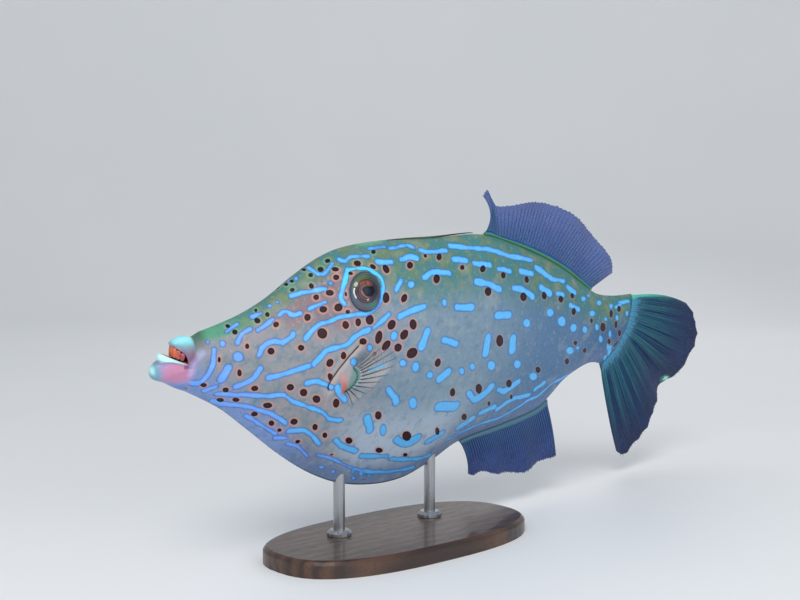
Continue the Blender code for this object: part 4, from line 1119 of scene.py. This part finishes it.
def makeFinMaterial(name, fin):
    m = Shade(name)
    tones = fin["tones"]
    along, share = m.read("along", "share")
    patch, fine = m.noise(60, 4), m.noise(260, 4)
    patchy, fineness = patch - 0.5, fine - 0.5
    between = (share * (2 * math.pi * fin["rays"]) + math.pi / 2).wave()
    m.color = m.mix(patch.step(0.35, 0.65), tones["web"], tones["web2"])
    streak = (between + patchy * 1.5).step(0.3, -0.9) * along.step(1, 0.2)
    m.coat(streak * tones["streak"], tones["ray"])
    m.coat(along.step(tones["sheath"], tones["sheath"] * 0.5), tones["root"])

    def bars(spot, detail):
        return m.add("ShaderNodeTexNoise", {"noise_dimensions": "1D"}, {"W": spot, "Detail": detail})[0]

    if "edge" in tones:      # bands, blue dashes at the foot, a light upper edge and a glint at the notch
        bands = bars(share * 15 + 3.7, 1).step(0.44, 0.62) * (along + patchy * 0.5).step(0.95, 0.2)
        m.coat(bands * 0.8, tones["band"])
        m.coat((along + patchy * 0.2).step(0.24, 0) * 0.85, tones["root"])
        dashes = bars(share * 34 + 8.2, 0).step(0.54, 0.6) * (along + fineness * 0.1).step(0.15, 0.08)
        m.coat(dashes, (74, 176, 226))
        rim = (share + along * 0.02 + fineness * 0.02).step(0.05, 0.015)
        m.coat(rim, m.mix(along.step(0.2, 0.9), tones["edge"], (60, 96, 110)))
        glint = ((share - 0.493) / 0.012) ** 2 + ((along - 0.96) / 0.05) ** 2 + fineness * 2
        bright = m.mix(glint.step(0.5, 0.1), (56, 140, 128), (176, 236, 220))
        m.coat(glint.step(1.6, 0.2), bright)
    alpha = along.step(0.1, 1, tones["alpha"], tones["alpha"] * 0.82)
    if "gleam" in tones:
        gleam = (((share - 0.33) / 0.035) ** 2 + ((along - 0.5) / 0.3) ** 2).step(1.2, 0.5)
        m.coat(gleam, tones["gleam"])
        alpha = alpha * (share + fineness * 0.3).step(0.75, 0.4, 0.4, 1) * along.step(1, 0.7)
        alpha = m.mix(gleam * 0.7, alpha, 0.9)
    alpha = m.mix(along.step(tones["sheath"] * 1.4, tones["sheath"] * 0.7), alpha, 1.0)
    return m.finish(Roughness=fine.step(0.3, 0.7, 0.38, 0.5), Alpha=alpha, Specular_IOR_Level=tones["shine"],
                    Normal=m.bump(between * 0.5 + fine * 0.3, 0.25, 0.0006))


def makeRayMaterial(name, rootTone, tipTone, joint=46.0):
    m = Shade(name)
    along, fine = m.read("along")[0], m.noise(300, 4)
    m.color = m.mix((along + (fine - 0.5) * 0.2).step(0.1, 0.8), rootTone, tipTone)
    joints = (along * (joint * 2 * math.pi)).wave().step(0.55, 1) * along.step(0.15, 0.35)
    m.coat(joints * 0.45, [c * 0.5 for c in rootTone])
    return m.finish(Roughness=fine.step(0.3, 0.7, 0.36, 0.5), Specular_IOR_Level=0.15,
                    Normal=m.bump(joints * -1 + fine * 0.4, 0.3, 0.0004))


def makeFin(name, fin, spot, web, ray):
    sheet = makeMembrane(name + "_web", fin, spot, web)
    rays = growRays(name + "_rays", rayPaths(fin, spot), ray)
    for piece in (sheet, rays):
        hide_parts(name)
        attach(piece, "root")
    print(name, "done:", len(rays.data.polygons), "ray faces")


for name, fin in fins.items():
    web, ray = makeFinMaterial(name + "_web", fin), makeRayMaterial(name + "_ray", *fin["rayTones"])
    makeFin(name, fin, lambda u, v: finSpot(name, u, v), web, ray)
web, ray = makeFinMaterial("pectoral_web", pectoral), makeRayMaterial("pectoral_ray", *pectoral["rayTones"])
for side, name in ((-1, "pectoral_fin_left"), (1, "pectoral_fin_right")):
    makeFin(name, pectoral, lambda u, v: pectoralSpot(side, u, v), web, ray)

# Dorsal spine, folded back along the ridge, with its fine barbs
spine = dict(first=30.2, last=43.9, root=0.17, tip=0.06, sunk=0.3, rise=0.12, barbs=30, barbLength=0.18)


def makeSpineMaterial():
    m = Shade("spine_horn")
    along, fine = m.read("along")[0], m.noise(260, 4, stretch=(0.2, 1.0, 1.0))
    m.color = m.mix(fine.step(0.35, 0.65), (46, 56, 40), (84, 96, 66))
    m.coat(along.step(0.5, 1) * 0.6, (34, 34, 34))
    return m.finish(Roughness=fine.step(0.3, 0.7, 0.42, 0.6), Normal=m.bump(fine, 0.4, 0.0005))


def makeSpine():
    t = np.linspace(0, 1, 40)
    s = spine["first"] + (spine["last"] - spine["first"]) * t
    radii = (spine["root"] + (spine["tip"] - spine["root"]) * t) * np.minimum(1, 0.35 + 12 * (1.02 - t))
    z = curve(backLine, s) + radii - spine["sunk"] * (1 - t) ** 2 + spine["rise"] * t ** 1.3
    paths = [(place(s, 0 * s, z), radii, t, t)]
    for k in range(spine["barbs"]):
        at = 0.08 + 0.86 * k / spine["barbs"]
        low = [np.interp(at, t, values) for values in (s, z, radii)]
        for side in (-1, 1):
            tip = place(low[0] - spine["barbLength"] * 0.7, side * (low[2] + 0.07), low[1] + 0.04)
            foot = place(low[0], side * low[2] * 0.5, low[1])
            paths.append(([foot, (foot + tip) / 2, tip], (0.045, 0.03, 0.008), (at, at, at), (at, at, at)))
    rod = growRays("dorsal_spine_rod", paths, makeSpineMaterial(), sides=8)
    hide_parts("dorsal_spine")
    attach(rod, "root")


makeSpine()
print("spine done")


# Stand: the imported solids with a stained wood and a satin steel
def dressStand():
    wood = Shade("stand_wood_stained")
    rings = wood.add("ShaderNodeTexWave", {"wave_type": "BANDS", "bands_direction": "Y"},
                     {"Vector": wood.where((1, 9, 9)), "Scale": 3.2, "Distortion": 7.0, "Detail": 3.0,
                      "Detail Scale": 1.4})[1]
    pores = wood.noise(90, 4, stretch=(1, 16, 16))
    wood.color = wood.mix(rings, (46, 28, 20), (82, 54, 38))
    wood.coat(pores.step(0.5, 0.7) * 0.6, (28, 16, 12))
    wood.finish(Roughness=pores.step(0.3, 0.7, 0.34, 0.5), Coat_Weight=0.3,
                Normal=wood.bump(pores * -1 + rings * 0.2, 0.15, 0.0004))
    steel = Shade("stand_steel_satin")
    brush = steel.noise(700, 3, stretch=(1, 1, 0.03))
    steel.color = steel.mix(brush, (150, 152, 156), (184, 186, 190))
    steel.finish(Metallic=1.0, Roughness=brush.step(0.3, 0.7, 0.26, 0.38),
                 Normal=steel.bump(brush, 0.1, 0.0002))
    for name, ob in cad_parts.items():
        if name.startswith("stand_"):
            for slot in ob.material_slots:
                slot.material = wood.material if name == "stand_base" else steel.material


dressStand()
print("stand done")

# Floor and backdrop, lights. A lamp is a place, a target, a size and a power.
studio = dict(floorSize=6.0, coveRadius=0.9, coveStart=1.6, wallHeight=4.0, sky=(0.86, 0.90, 0.95, 1),
              skyPower=0.55, glintPixel=(368.1, 300.0), glintAway=0.3, glintSpread=30)
lamps = dict(key=((-1.3, -1.2, 1.6), (0, 0, 0.12), 0.9, 28), fill=((-0.1, -1.9, 0.5), (0, 0, 0.12), 1.4, 10),
             rim=((1.4, 0.9, 1.0), (0.05, 0, 0.15), 0.9, 3))


def makeStage():
    m = Shade("studio_paper")
    m.color = m.mix(m.noise(3, 2), (232, 234, 236), (238, 239, 240))
    m.finish(Roughness=0.75)
    half, r, start = studio["floorSize"] / 2, studio["coveRadius"], studio["coveStart"]
    profile = [(-half, 0.0), (start, 0.0)]
    profile += [(start + r * math.sin(a), r - r * math.cos(a)) for a in np.linspace(0.15, math.pi / 2, 10)]
    profile += [(start + r, studio["wallHeight"])]
    a = math.radians(view["azimuth"])
    away, right = Vector((-math.sin(a), math.cos(a), 0)), Vector((math.cos(a), math.sin(a), 0))
    points = [away * d + right * w + Vector((0, 0, h)) for d, h in profile for w in (-half * 1.6, half * 1.6)]
    faces = [(2 * k, 2 * k + 1, 2 * k + 3, 2 * k + 2) for k in range(len(profile) - 1)]
    makeMesh("floor", points, faces, m.material)


def makeLight(name, spot, target, size, power):
    data = bpy.data.lights.new(name, "AREA")
    data.shape, data.size, data.energy = "DISK", size, power
    lamp = bpy.data.objects.new(name, data)
    lamp.location = spot
    lamp.rotation_euler = (Vector(target) - Vector(spot)).to_track_quat("-Z", "Y").to_euler()
    bpy.context.scene.collection.objects.link(lamp)
    return data


def makeStudio():
    makeStage()
    for name, lamp in lamps.items():
        makeLight(name, *lamp)
    # a small lamp that stands where the left eye mirrors it to the camera
    eye, heading = pixelRay(*studio["glintPixel"])
    ball = BVHTree.FromPolygons(place(*eyePoints.T).tolist(), eyeFaces)
    spot, normal = ball.ray_cast(eye, heading)[:2]
    glint = makeLight("glint", spot + heading.reflect(normal) * studio["glintAway"], spot, 0.036, 0.002)
    glint.spread = math.radians(studio["glintSpread"])
    world = bpy.data.worlds.new("studio")
    world.use_nodes = True
    background = world.node_tree.nodes["Background"].inputs
    background[0].default_value, background[1].default_value = studio["sky"], studio["skyPower"]
    bpy.context.scene.world = world
    bpy.context.scene.view_settings.view_transform = "Standard"


makeStudio()
print("studio done")
